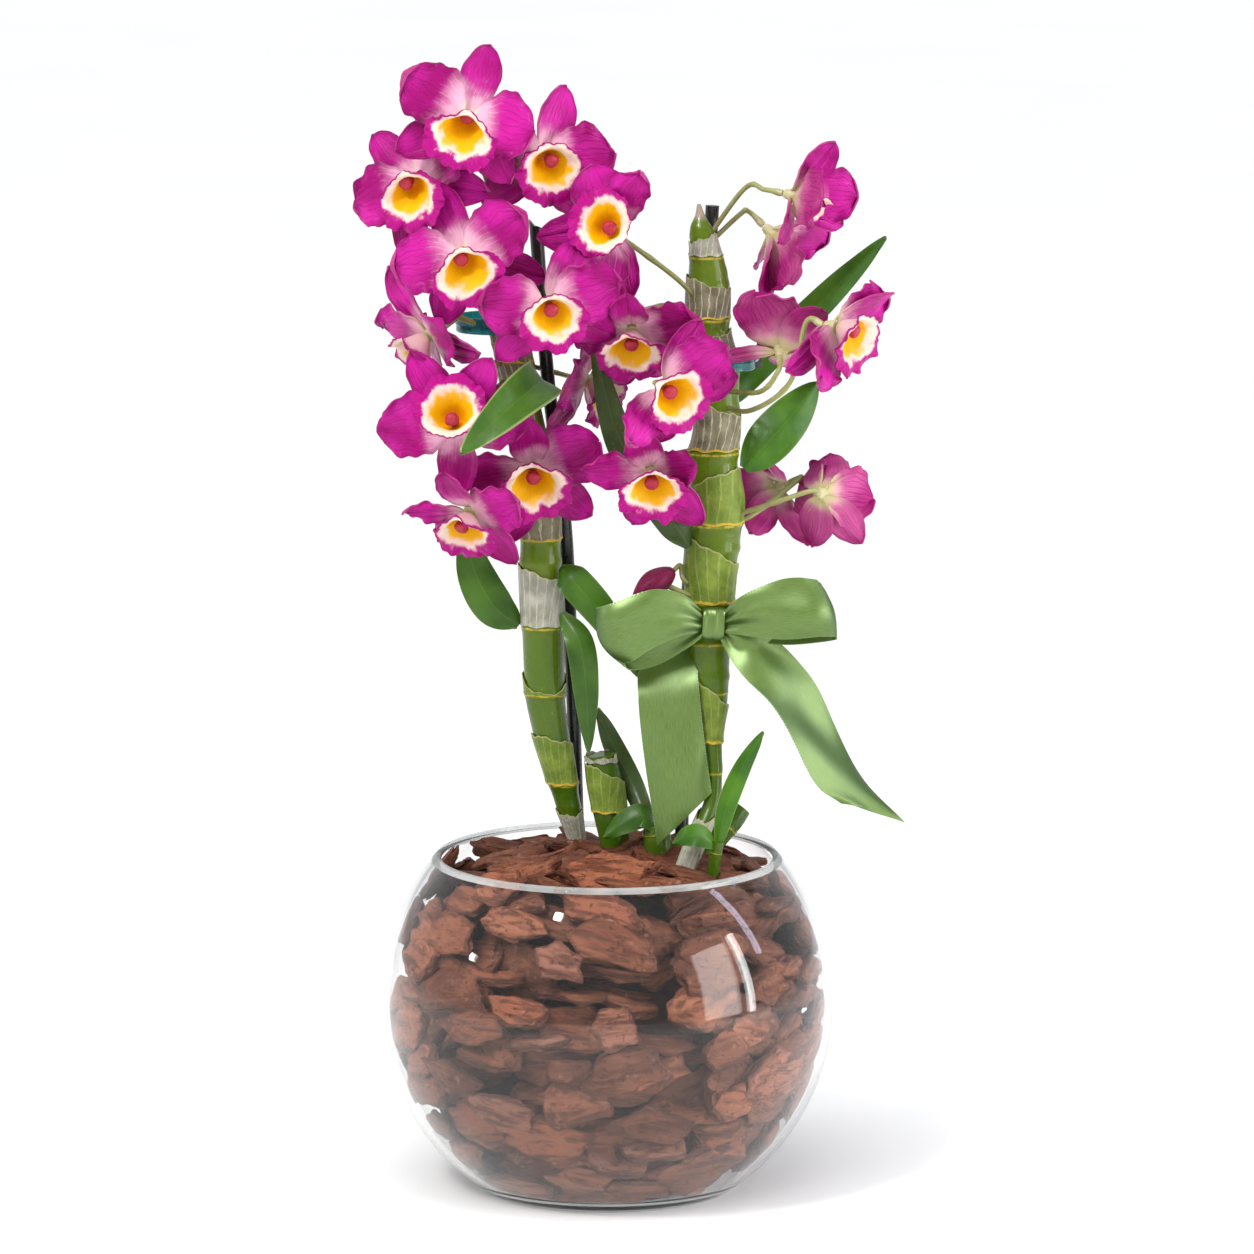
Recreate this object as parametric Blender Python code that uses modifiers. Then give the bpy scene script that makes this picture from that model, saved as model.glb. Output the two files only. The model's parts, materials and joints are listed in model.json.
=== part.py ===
# Dendrobium orchid in a round glass bowl. Metres, +Z up.
# The origin is the centre of the bowl's flat base, and the blooms of the show side face -Y.
# Tables below give places and small sizes in millimetres, and angles in degrees.
import math
import random

import bmesh
import bpy
from mathutils import Matrix, Vector

MM = 0.001
GAP = 0.0003               # clearance between pieces that touch
SEAT = 0.00045             # clearance of a leaf's foot from its faceted cane

# Glass bowl: a ball cut flat below and open above
BOWL_RADIUS = 0.100
BOWL_CENTRE = 0.0822
RIM_RADIUS = 0.0755
GLASS = 0.003
GLASS_FLOOR = 0.005
RIM_BEAD = 0.0011
BOWL_SIDES = 28
BOWL_ARC_STEPS = 7

# Bark bed: a core with chips standing out of it
BARK_REACH = BOWL_RADIUS - GLASS - 0.0013
BARK_CORE = 0.0895
BARK_TOP = 0.1415
BARK_MOUND = 0.0085
WALL_CHIPS = 34
TOP_CHIPS = 9
CHIP_LENGTH = (0.034, 0.060)
CHIP_WIDTH = (0.024, 0.034)
CHIP_THICKNESS = 0.012
CHIP_LEAN = 0.3
CHIP_SEED = 7

# Blooms
SEPAL_LENGTH = 0.0325
SEPAL_WIDTH = 0.0175
PETAL_LENGTH = 0.0305
PETAL_WIDTH = 0.0285
TEPAL_THICKNESS = 0.0008
PETAL_LEVEL = 0.0007       # petals sit in front of the sepals
SEPAL_LEVEL = -0.0012
HUB_RADIUS = 0.0034
SPUR_RADIUS = 0.0021
HUB_SIDES = 5
TEPAL_START = 0.0022       # how far from the bloom's axis a tepal begins
HUB_FRONT = 0.0016
HUB_BACK = 0.0050
LIP_THICKNESS = 0.0008
LIP_DROP = 0.42            # how far the lip sinks for each unit that it comes forward
LIP_DROPS = {"a": 0.95, "b": 0.75, "e": 0.7}      # blooms whose lip hangs lower
LIP_CLOSED = {"o": 0.55, "p": 0.55, "q": 0.55, "s": 0.55, "t": 0.55}      # blooms whose lip is narrower
LIP_BREADTH = 1.07
COLUMN_LENGTH = 0.0085
STALK_RADIUS = 0.0011

# Lip profile: distance from its own axis and distance forward, from the throat to the margin
LIP_PROFILE = ((0.0, 0.0), (3.2, 1.0), (10.2, 9.6), (14.2, 10.6))
LIP_SIDES = 8
COLUMN_RADII = (0.0017, 0.0025)
COLUMN_SIDES = 5
COLUMN_LEAN = 8

# Canes from the top down: x, y, z and width
CANE_LEFT = (
    (-44, 4, 400, 9), (-44, 4, 394, 14), (-43, 4, 380, 15.5), (-41, 4, 371, 15.5), (-37, 4, 349, 15.5),
    (-31, 4, 318, 16.5), (-29, 4, 301, 17), (-29, 4, 278, 18), (-28, 4, 252, 18.6), (-27, 5, 216, 17.4),
    (-24, 6, 198, 15.6), (-20, 7, 180, 13.2), (-17, 8, 168, 10.6), (-13, 8, 152, 6.6), (-9, 8, 136, 6.2),
    (-5, 8, 112, 6.0),
)
CANE_RIGHT = (
    (40, 2, 435, 1.6), (40.5, 2, 430, 4.5), (41, 2, 425, 9.6), (42.5, 2, 416, 12.5), (44, 2, 406, 16.8),
    (44, 1, 393, 18.6), (44, 0, 380, 19), (48, 0, 365, 19), (48, -1, 352, 19), (48, -2, 337, 19.6),
    (46, -3, 322, 22), (48, -4, 306, 23.2), (47, -5, 291, 23), (45, -6, 273, 22), (45, -8, 240, 17.8),
    (46, -10, 219, 13.6), (46, -12, 203, 9), (47, -14, 188, 7), (46, -16, 175, 7.2), (41, -20, 163, 8.4),
    (36, -24, 151, 8.2), (31, -28, 139, 7.6), (24, -33, 122, 7.0),
)
LEFT_NODES = (391, 366, 349, 305, 289, 278, 249, 219, 193, 178, 168)
RIGHT_NODES = (421, 412, 400, 385, 377, 363, 346, 326, 297, 285, 262.5, 244, 229, 203, 189)
NODE_SWELL = 1.06
CANE_SIDES_STEP = 3        # a cane has 4 + 2 * this sides
STALK_SIDES_STEP = 0

# Cut stubs and the rhizome piece between them, as x, y, z and width
STUB_FRONT = ((-3, 4, 192, 12.6), (-1, 4, 180, 15.2), (1, 3, 168, 15), (3, 2, 156, 13.4), (5, 1, 140, 11),
              (6, 1, 122, 9))
STUB_CENTRE = ((21, -9, 163, 10), (22, -9, 156, 12.6), (23, -9, 146, 12), (26, -9, 134, 10))
STUB_RIGHT = ((59, 9, 167, 9.6), (55, 7, 162, 10.6), (48, 4, 154, 10), (40, -1, 144, 9), (33, -5, 134, 8))

# Leaves of the stubs: the way from foot to tip, width and fold
STUB_LEAVES = {
    "leaf_h": (((20, -6, 158), (12, 8, 176), (2, 12, 196), (-4, 12, 211)), 10, 0.25),
    "leaf_i": (((22, -11, 160), (16, -14, 168), (6, -14, 164), (-1, -12, 158)), 11, 0.3),
}
RHIZOME_RADIUS = 0.004

# New shoot: its stem as x, y, z and width, and its two leaves as above
SHOOT_STEM = ((48.5, -31, 160, 4.8), (47, -30, 151, 5.2), (45, -28, 138, 5.2))
SHOOT_LEAVES = {
    "shoot_blade": (((48, -30.5, 157), (52, -32, 175), (59, -31, 193), (68, -29, 208)), 8.5, 0.5),
    "shoot_leaf": (((48, -31, 157), (41, -34, 163), (35, -36, 163), (29, -36, 160)), 10, 0.2),
}

# Bud: centre of its foot, turn and tilt as for a bloom, its outline, and where its stalk leaves the cane
BUD_PLACE = ((29, -10, 276), -62, -28, 0)
BUD_PROFILE = ((0, 0), (2.6, 0.9), (5.2, 6), (5.8, 11), (4.2, 17), (1.6, 21.5), (0, 22.5))
BUD_SIDES = 10
BUD_STALK = (266, (34, -13, 272))

# Black stakes, from the top down
STAKE_WIDTH = 6
STAKE_LEFT = ((-31, 10, 428), (-26, 11, 360), (-18.5, 13, 294), (-16, 16, 240), (-13.5, 20, 168),
              (-12, 22, 100))
STAKE_RIGHT = ((46, 15, 433), (44, 14.5, 395), (43, 13.5, 366), (41, 13, 330), (36, 11, 270), (34, 9, 214),
               (33, 7, 160), (32, 5, 105))

# Cane clips: centre of the ring, and where its catch reaches
CLIP_RADIUS = 14.9
CLIP_HEIGHT = 7
CLIP_WALL = 1.2
CLIP_SIDES = 14
CLIP_CATCH = (4.3, 6.0, 9.0)
CLIP_LEFT = ((-49.6, 4, 383), (-33.2, 9, 383.6))
CLIP_RIGHT = ((48.6, 4.0, 366.5), (64.8, 9.6, 367))

# Blooms: centre, turn to the right, tilt up, roll, spread, how far the tepals fold forward in radians, then
# the cane, the height at which the stalk leaves it, and any points that the stalk passes on its way
BLOOMS = {
    "a": ((-60, -28, 475), 5, 13, 19, 1.0, 0.0, "left", 397, ((-50, -8, 440),)),
    "b": ((-81, -13, 446), -32, 6, -34, 1.0, 0.1, "left", 396, ((-58, -4, 425),)),
    "c": ((-28, -11, 456), 25, 4, 12, 1.0, 0.0, "left", 398, ((-43, -2, 430),)),
    "d": ((0, -22, 428), 10, 1, 119, 0.95, 0.0, "right", 387, ((30, -8, 404),)),
    "e": ((-61, -31, 416), -8, 3, -25, 1.0, 0.0, "left", 392, ()),
    "f": ((-25, -40, 396), 7, -2, -12, 0.95, 0.0, "left", 392, ()),
    "g": ((11, -25, 383), -2, -25, 1, 0.95, 0.0, "right", 384, ((30, -6, 392),)),
    "h": ((25, -44, 361), 11, -2, -47, 0.95, 0.0, "right", 357, ()),
    "i": ((-76, -14, 380), -62, -28, 0, 0.95, 0.1, "left", 394, ((-60, 0, 394),)),
    "j": ((-65, -33.5, 345.5), -7, 6, 173, 1.0, 0.0, "left", 362, ()),
    "k": ((-32, -15, 321), 1, -8, -8, 1.0, 0.0, "left", 322, ()),
    "l": ((-59, -24, 304), -25, -29, -8, 0.9, 0.0, "left", 312, ()),
    "m": ((19.5, -28.5, 322), -1, -16, -8, 0.96, 0.0, "right", 330, ()),
    "n": ((-9, 14, 356), 59, -10, -4, 0.9, 0.1, "left", 366, ()),
    "o": ((81, -9, 440), 67, -8, 0, 0.95, 0.75, "right", 418, ((60, 2, 442),)),
    "p": ((72, 12, 421), 77, -42, -8, 0.95, 0.6, "right", 416, ((58, 8, 430),)),
    "q": ((75.5, -13, 373), 173, 32, -41, 1.0, 0.0, "right", 354, ((66, -21, 356),)),
    "r": ((97.5, -42, 387), 57, -4, 1, 1.0, 0.1, "right", 348, ((62, -22, 348), (79, -34, 362))),
    "s": ((76, 21.5, 307.5), 222, -25, 0, 0.87, 0.5, "right", 296, ((62, 0, 298),)),
    "t": ((93.5, -6.5, 309.5), 157, -12, 1, 0.93, 0.9, "right", 297, ((66, -12, 304),)),
}
BLOOM_SEED = 40

# Tepals that stand apart from the rest of their bloom: added angle in degrees, added lift and curl in radians,
# then factors on length and width
TEPAL_MOVES = {
    "a": {"petal_right": (0, 0, 0, 0.88)},
    "b": {"dorsal": (22, 0)},
    "c": {"dorsal": (-18, 0, 0, 1.1), "petal_right": (8, 0)},
    "d": {"dorsal": (-38, 0.2), "petal_left": (15, 0.5, 0, 1, 0.7), "lateral_left": (0, 0, 0, 0.85, 1.5),
          "lateral_right": (-10, 0, 0, 0.9)},
    "f": {"dorsal": (-38, 0)},
    "g": {"dorsal": (0, 0.7), "petal_left": (0, 0, 0, 0.85), "lateral_left": (42, 0),
          "lateral_right": (-25, 0)},
    "h": {"dorsal": (-75, 0.1), "petal_left": (20, 0.4, 0, 1, 0.7), "petal_right": (-25, 0),
          "lateral_left": (0, 0, 0, 0.75), "lateral_right": (0, 0, 0, 1, 1.2)},
    "i": {"dorsal": (36, 0, 0, 1.15), "lateral_right": (30, 0)},
    "j": {"petal_left": (18, 0), "petal_right": (-15, 0), "lateral_left": (10, 0.5),
          "lateral_right": (-22, 0.2)},
    "k": {"dorsal": (0, 0.7), "petal_left": (14, 0, 0, 1, 0.7), "lateral_left": (20, 0),
          "lateral_right": (-12, 0)},
    "l": {"dorsal": (0, 0.6), "petal_left": (-5, 0, 0, 1, 0.4), "lateral_right": (-28, 0)},
    "m": {"dorsal": (0, 0.7), "petal_left": (-8, 0, 0, 1, 0.62), "petal_right": (0, 0.4, 0, 0.7, 0.7),
          "lateral_left": (25, 0, 0, 0.85), "lateral_right": (-22, 0)},
    "o": {"petal_right": (0, 0.2, 0, 0.85), "lateral_left": (0, 0, 0, 0.8),
          "lateral_right": (10, 0.6, 0, 0.85)},
    "p": {"petal_left": (25, 0.25), "lateral_left": (0, 0.5, 0, 1, 1.3)},
    "q": {"dorsal": (-12, 0), "petal_left": (0, 0.7, 0, 0.7), "petal_right": (22, 0, 0, 0.92),
          "lateral_left": (0, 0.8, 0, 0.8), "lateral_right": (3, -0.1, 0, 0.95, 0.5)},
    "r": {"dorsal": (-60, 0.5), "petal_right": (10, 0, 0, 1, 0.8), "petal_left": (50, 0, 0, 0.93),
          "lateral_left": (-14, 0), "lateral_right": (10, 0, 0, 0.8)},
    "s": {"dorsal": (20, 0.3, 0, 0.85), "petal_left": (0, 0.4, 0, 0.8), "petal_right": (0, 0, 0, 1, 0.85),
          "lateral_left": (53, -0.3)},
    "t": {"dorsal": (-12, 0.15, 0, 0.9, 1.3), "petal_left": (12, 0.1, 0, 0.92), "petal_right": (0, 0.1),
          "lateral_left": (10, 0.4), "lateral_right": (-30, 0.3, 0, 0.9)},
}

# Leaves of the canes: cane, height of the foot, side that it leaves the cane on in degrees from +X, the way
# out to the tip, width, fold, and how far the foot moves in to meet the cane's faceted side
LEAVES = {
    "a": ("right", 287, 215, ((28, -17, 300), (6, -11, 333), (-6, -8, 376)), 15.5, 0.25, 0.75),
    "b": ("left", 356, -50, ((-28, -14, 358), (-40, -24, 348), (-58, -29, 335)), 14, -0.3, 0.8),
    "c": ("right", 320, -4, ((70, -2, 331), (82, 4, 344), (92, 10, 356)), 20, 0.3, 0.0),
    "d": ("right", 348, 62, ((63, 25, 358), (97, 30, 392), (122, 25, 418)), 12.5, 0.2, 0.0),
    "e": ("left", 276, -36, ((-15, -11, 272), (1, -11, 253), (14, -9, 229)), 15, 0.25, 0.0),
    "f": ("left", 250, 190, ((-49, 0, 258), (-58, 2, 274), (-62, 4, 295)), 18, 0.25, 1.15),
    "g": ("left", 256, -40, ((-12, -9, 244), (-9, -9, 222), (-8, -7, 195)), 12.5, 0.2, 0.0),
}
LEAF_THICKNESS = 0.001
FOOT_SHARE = 0.22          # width of a leaf's foot against its widest place

# Ribbon: places along its middle and, for each, half of its width as a vector
RIBBON_THICKNESS = 0.0008
BAND_CENTRE = (45.1, -7.2, 253.5)
BAND_RADIUS = 11.8
BAND_HEIGHT = 12
BAND_SIDES = 12
KNOT_CENTRE = (46.5, -21.7, 254.5)
KNOT_SIZE = (9.4, 6.6, 14)
KNOT_ROUNDING = 0.0018
RIBBON_RUNS = {
    "left_loop": (((43, -22, 255), (0, 0, 4)), ((33, -28, 259), (1, 0, 9)), ((20, -32, 258), (0, 0, 13)),
                  ((6, -33, 252), (-5, 0, 12.5)), ((-2, -27, 248), (-6, 0, 12)),
                  ((5, -21, 246), (-5, 0, 12)), ((20, -19.5, 248), (-2, 0, 12)),
                  ((34, -20.5, 251), (0, 0, 8)), ((43, -21, 254), (0, 0, 4))),
    "right_loop": (((50, -22, 255), (0, 0, 4)), ((60, -28, 259), (-1, 0, 9)), ((76, -31, 262), (-1, 0, 13)),
                   ((91, -31, 263), (-3.5, 0, 12.7)), ((99, -25, 262), (-4, 0, 12.5)),
                   ((91, -18, 259), (-3.5, 0, 12.5)), ((76, -17.5, 257), (-2, 0, 12)),
                   ((60, -19.5, 255), (0, 0, 8)), ((50, -21, 254.5), (0, 0, 4))),
    "left_tail": (((43, -21, 253), (2, 0, 4)), ((35, -18.5, 247), (6, 0, 7)),
                  ((27, -17, 238), (12, 0, 5.5)), ((27, -17.5, 218), (13.3, 0, 1.5)),
                  ((30, -20, 194), (13.4, 0, 1)), ((34, -22, 168), (13.4, 0, 1))),
    "right_tail": (((50, -21.5, 253), (1, 0, 4)), ((58, -24, 247), (5, 1, 6)), ((68, -25, 239), (9, 5, 6)),
                   ((80, -26, 226), (9, 9, 4)), ((91, -26, 206), (8, 10.5, 2)),
                   ((103, -26, 185), (9.5, 9.5, 0)), ((116, -26, 172), (13, 3, -3.5))),
}
RUN_SLANTS = {"left_tail": -0.08, "right_tail": 0.02}    # slant of a tail's cut end against its length

PLANT = bpy.data.collections.new("dendrobium_orchid")
CUTTERS = bpy.data.collections.new("cutters")


def clear_scene():
    for thing in list(bpy.data.objects):
        bpy.data.objects.remove(thing, do_unlink=True)
    bpy.context.scene.collection.children.link(PLANT)
    bpy.context.scene.collection.children.link(CUTTERS)


def finish(name, colour, roughness, metallic=0.0, alpha=1.0, transmission=0.0):
    material = bpy.data.materials.new(name)
    material.use_nodes = True
    shader = material.node_tree.nodes["Principled BSDF"]
    shader.inputs["Base Color"].default_value = (*colour, 1.0)
    shader.inputs["Roughness"].default_value = roughness
    shader.inputs["Metallic"].default_value = metallic
    shader.inputs["Alpha"].default_value = alpha
    shader.inputs["Transmission Weight"].default_value = transmission
    return material


def place(name, mesh, material=None, collection=PLANT):
    thing = bpy.data.objects.new(name, mesh)
    collection.objects.link(thing)
    if material is not None:
        mesh.materials.clear()
        mesh.materials.append(material)
    return thing


def mesh_from(builder, name="piece"):
    mesh = bpy.data.meshes.new(name)
    builder.to_mesh(mesh)
    builder.free()
    return mesh


def bake(thing, weld=False):
    """Replaces an object by a mesh object of its evaluated shape, with its place in the mesh."""
    shape = thing.evaluated_get(bpy.context.evaluated_depsgraph_get())
    mesh = bpy.data.meshes.new_from_object(shape)
    mesh.transform(thing.matrix_world)
    builder = bmesh.new()
    builder.from_mesh(mesh)
    if weld:
        bmesh.ops.remove_doubles(builder, verts=builder.verts, dist=1e-6)
    bmesh.ops.recalc_face_normals(builder, faces=builder.faces)
    builder.to_mesh(mesh)
    builder.free()
    fresh = place(thing.name + "_baked", mesh, collection=thing.users_collection[0])
    bpy.data.objects.remove(thing, do_unlink=True)
    return fresh


def combine(name, pieces, material, operation="UNION", solver="EXACT"):
    """Joins or cuts the first piece with all the others in one Boolean, and removes them."""
    tools = bpy.data.collections.new(name + "_pieces")
    bpy.context.scene.collection.children.link(tools)
    for piece in pieces[1:]:
        for home in piece.users_collection:
            home.objects.unlink(piece)
        tools.objects.link(piece)
    joiner = pieces[0].modifiers.new("join", "BOOLEAN")
    joiner.operation = operation
    joiner.operand_type = "COLLECTION"
    joiner.collection = tools
    joiner.solver = solver
    whole = bake(pieces[0])
    for piece in list(tools.objects):
        bpy.data.objects.remove(piece, do_unlink=True)
    bpy.data.collections.remove(tools)
    whole.name = name
    whole.data.name = name
    whole.data.materials.clear()
    whole.data.materials.append(material)
    return whole


def smooth_between(values, t):
    """Catmull-Rom through a list of vectors, t from 0 to 1; past the ends it runs on straight."""
    spans = len(values) - 1
    clamped = min(max(t, 0.0), 1.0)
    at = min(int(clamped * spans), spans - 1)
    f = clamped * spans - at
    p1, p2 = values[at], values[at + 1]
    p0 = values[at - 1] if at > 0 else p1 * 2 - p2
    p3 = values[at + 2] if at + 2 <= spans else p2 * 2 - p1
    point = 0.5 * (2 * p1 + (p2 - p0) * f + (2 * p0 - 5 * p1 + 4 * p2 - p3) * f ** 2
                   + (3 * p1 - p0 - 3 * p2 + p3) * f ** 3)
    if t != clamped:
        end = values[-1] - values[-2] if t > 1 else values[1] - values[0]
        point = point + end * (t - clamped) * spans
    return point


def vector_mm(numbers):
    return Vector(numbers) * MM


def tube(name, points, radii, sides_step, collection=PLANT):
    """A closed tube along points, with a radius at each."""
    curve = bpy.data.curves.new(name, "CURVE")
    curve.dimensions = "3D"
    curve.bevel_depth = 1.0
    curve.bevel_resolution = sides_step
    curve.use_fill_caps = True
    line = curve.splines.new("POLY")
    line.points.add(len(points) - 1)
    for spot, point, radius in zip(line.points, points, radii):
        spot.co = (*point, 1.0)
        spot.radius = radius
    thing = bpy.data.objects.new(name, curve)
    collection.objects.link(thing)
    return bake(thing, weld=True)


def cane_at(stations, height):
    """Middle and radius of a cane at a height in millimetres."""
    for upper, lower in zip(stations, stations[1:]):
        if upper[2] >= height >= lower[2]:
            f = (upper[2] - height) / (upper[2] - lower[2])
            row = [a + (b - a) * f for a, b in zip(upper, lower)]
            return vector_mm(row[:3]), row[3] / 2 * MM
    raise ValueError("no cane at this height")


def cane_outline(stations, nodes=()):
    """Points and radii along a cane, with a swollen ring at each node."""
    heights = [row[2] for row in stations]
    for node in nodes:
        heights = [h for h in heights if abs(h - node) > 5] + [node + 1.4, node - 0.6]
    heights.sort(reverse=True)
    points, radii = [], []
    for height in heights:
        middle, radius = cane_at(stations, height)
        swell = NODE_SWELL if any(abs(node - 0.6 - height) < 0.01 for node in nodes) else 1.0
        points.append(middle)
        radii.append(radius * swell)
    return points, radii


def sheet_piece(name, along, across, shape, thickness, collection=PLANT):
    """A thin closed blade: a grid put in its place by a formula, split into triangles and thickened."""
    builder = bmesh.new()
    bmesh.ops.create_grid(builder, x_segments=along, y_segments=across, size=0.5)
    for corner in builder.verts:
        corner.co = shape(corner.co.x + 0.5, corner.co.y * 2)
    bmesh.ops.triangulate(builder, faces=builder.faces)
    thing = place(name, mesh_from(builder), collection=collection)
    wall = thing.modifiers.new("wall", "SOLIDIFY")
    wall.thickness = thickness
    wall.offset = 0.0
    return bake(thing)


def bloom_frame(centre, turn, tilt, roll):
    """The bloom's own right, up and forward directions, with its middle as the origin."""
    a, e, r = (math.radians(angle) for angle in (turn, tilt, roll))
    forward = Vector((math.sin(a) * math.cos(e), -math.cos(a) * math.cos(e), math.sin(e)))
    level = Vector((math.cos(a), math.sin(a), 0.0))
    upright = forward.cross(level)
    up = upright * math.cos(r) + level * math.sin(r)
    right = level * math.cos(r) - upright * math.sin(r)
    frame = Matrix((right, up, forward)).transposed().to_4x4()
    frame.translation = vector_mm(centre)
    return frame


def tepal_shape(spec, frame):
    """A petal or sepal: u runs out from the hub and v across."""
    direction = Matrix.Rotation(math.radians(spec["angle"]), 4, "Z")
    bend = spec["curl"] if abs(spec["curl"]) > 0.01 else 0.01

    def shape(t, v):
        u = 1 - (1 - t) ** spec["crowd"]
        full = math.sin(math.pi * min(u, 1.0) ** spec["skew"]) if u < 1 else 0.0
        share = max(full ** spec["round"] if full > 0 else 0.0, spec["claw"] * (1 - u) + spec["tip"] * u)
        half = spec["width"] / 2 * share
        turn = spec["lift"] + bend * u
        out = spec["length"] * (math.sin(turn) - math.sin(spec["lift"])) / bend
        rise = -spec["length"] * (math.cos(turn) - math.cos(spec["lift"])) / bend
        side = v * half
        wave = math.sin(math.tau * spec["waves"] * u + spec["phase"] * v)
        lift = spec["cup"] * half * v * v + spec["ruffle"] * abs(v) ** 3 * u * wave
        spin = spec["twist"] * u
        across = side * math.cos(spin) - lift * math.sin(spin)
        above = side * math.sin(spin) + lift * math.cos(spin)
        place_in = Vector((TEPAL_START + out - math.sin(turn) * above, across,
                           spec["level"] + rise + math.cos(turn) * above))
        return frame @ (direction @ place_in)

    return shape


def tepal_specs(key, spread, opening, seed):
    """The five tepals of one bloom, each a little different."""
    draw = random.Random(seed)
    sepal = dict(length=SEPAL_LENGTH * spread, width=SEPAL_WIDTH * spread, skew=0.92, round=0.62, claw=0.18,
                 tip=0.14, crowd=1.25, lift=0.0, curl=-0.32, cup=0.10, ruffle=0.0, waves=1.0,
                 level=SEPAL_LEVEL)
    petal = dict(length=PETAL_LENGTH * spread, width=PETAL_WIDTH * spread, skew=1.08, round=0.5, claw=0.12,
                 tip=0.3, crowd=1.2, lift=0.20, curl=-0.22, cup=0.05, ruffle=0.0014, waves=1.6,
                 level=PETAL_LEVEL)
    rows = [("dorsal", 90, sepal, 1.0), ("petal_left", 168, petal, 0.8), ("petal_right", 12, petal, 0.8),
            ("lateral_left", 222, sepal, 0.5), ("lateral_right", 318, sepal, 0.5)]
    specs = []
    for name, angle, base, share in rows:
        spec = dict(base)
        spec["name"] = name
        spec["angle"] = angle + draw.uniform(-6, 6)
        spec["length"] *= draw.uniform(0.94, 1.05)
        spec["curl"] += draw.uniform(-0.14, 0.14)
        spec["lift"] += opening * share + draw.uniform(-0.03, 0.03)
        spec["twist"] = draw.uniform(-0.18, 0.18)
        spec["phase"] = draw.uniform(0.6, 2.6)
        own = TEPAL_MOVES.get(key, {}).get(name, ())
        for value, what in zip(own, ("angle", "lift", "curl")):
            spec[what] += value
        for factor, what in zip(own[3:], ("length", "width")):
            spec[what] *= factor
        specs.append(spec)
    return specs


def hub_piece(name, frame):
    """The bloom's middle and the blunt spur behind it."""
    builder = bmesh.new()
    bmesh.ops.create_cone(builder, cap_ends=True, segments=HUB_SIDES, radius1=SPUR_RADIUS,
                          radius2=HUB_RADIUS, depth=HUB_FRONT + HUB_BACK)
    shift = Matrix.Translation((0, 0, (HUB_FRONT - HUB_BACK) / 2)) @ Matrix.Rotation(0.2, 4, "Z")
    bmesh.ops.transform(builder, matrix=frame @ shift, verts=builder.verts)
    return place(name, mesh_from(builder))


def perianth(key, frame, spread, opening, seed, material):
    name = "bloom_%s_perianth" % key
    pieces = [hub_piece(name + "_hub", frame)]
    for spec in tepal_specs(key, spread, opening, seed):
        broad = spec["name"].startswith("petal")
        pieces.append(sheet_piece(name + "_" + spec["name"], 4 if broad else 3, 2, tepal_shape(spec, frame),
                                  TEPAL_THICKNESS))
    return combine(name, pieces, material, solver="MANIFOLD")


def lip_shape(frame, spread, phase, drop, closed):
    """Moves a point of the turned lip, at radius r and height d, to its place on the bloom."""
    base = HUB_FRONT + GAP + LIP_THICKNESS / 2 + 0.0001

    def shape(point):
        radius = math.hypot(point.x, point.y)
        angle = math.atan2(point.x, -point.y)
        low = (1 + math.cos(angle)) / 2
        outer = (radius / (LIP_PROFILE[-1][0] * MM)) ** 2
        reach = radius * (1 + outer * (0.20 * low - 0.12 * (1 - low))) * spread * closed
        forward = point.z + outer * MM * (1.6 * (1 - low) - 3.4 * low * low)
        forward += 0.0009 * outer * outer * math.sin(4 * angle + phase)
        forward *= spread
        across = LIP_BREADTH * reach * math.sin(angle)
        return frame @ Vector((across, -reach * math.cos(angle) - drop * forward, base + forward))

    return shape


def lip(name, frame, spread, phase, drop, closed, material):
    """The frilled cup with the column inside it."""
    builder = bmesh.new()
    spots = [builder.verts.new((r * MM, 0, d * MM)) for r, d in LIP_PROFILE]
    edges = [builder.edges.new(pair) for pair in zip(spots, spots[1:])]
    bmesh.ops.spin(builder, geom=spots + edges, cent=(0, 0, 0), axis=(0, 0, 1), angle=math.tau,
                   steps=LIP_SIDES, use_merge=True)
    bmesh.ops.remove_doubles(builder, verts=builder.verts, dist=1e-6)
    shape = lip_shape(frame, spread, phase, drop, closed)
    for corner in builder.verts:
        corner.co = shape(corner.co)
    bmesh.ops.recalc_face_normals(builder, faces=builder.faces)
    bmesh.ops.triangulate(builder, faces=builder.faces)
    cup = place(name + "_cup", mesh_from(builder))
    wall = cup.modifiers.new("wall", "SOLIDIFY")
    wall.thickness = LIP_THICKNESS
    wall.offset = 0.0
    cup = bake(cup)
    builder = bmesh.new()
    bmesh.ops.create_cone(builder, cap_ends=True, segments=COLUMN_SIDES, radius1=COLUMN_RADII[0],
                          radius2=COLUMN_RADII[1], depth=COLUMN_LENGTH)
    lean = Matrix.Rotation(math.radians(COLUMN_LEAN), 4, "X")
    start = HUB_FRONT + GAP + 0.0008
    lift = Matrix.Translation((0, 0.0004, start + COLUMN_LENGTH / 2))
    bmesh.ops.transform(builder, matrix=frame @ lean @ lift, verts=builder.verts)
    column = place(name + "_column", mesh_from(builder))
    return combine(name, [cup, column], material, solver="MANIFOLD")


def stalk(bloom, stations, height, mids, frame):
    """A flower stalk, from inside its cane to just behind the bloom's spur."""
    start, _ = cane_at(stations, height)
    back = frame @ Vector((0, 0, -HUB_BACK - GAP))
    approach = frame @ Vector((0, 0, -HUB_BACK - 0.009))
    route = [start] + [vector_mm(row) for row in mids] + [approach, back]
    steps = 2 + len(mids)
    points = [smooth_between(route[:-1], k / steps) for k in range(steps)] + [approach, back]
    return tube("stalk_" + bloom, points, [STALK_RADIUS] * len(points), STALK_SIDES_STEP)


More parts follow.
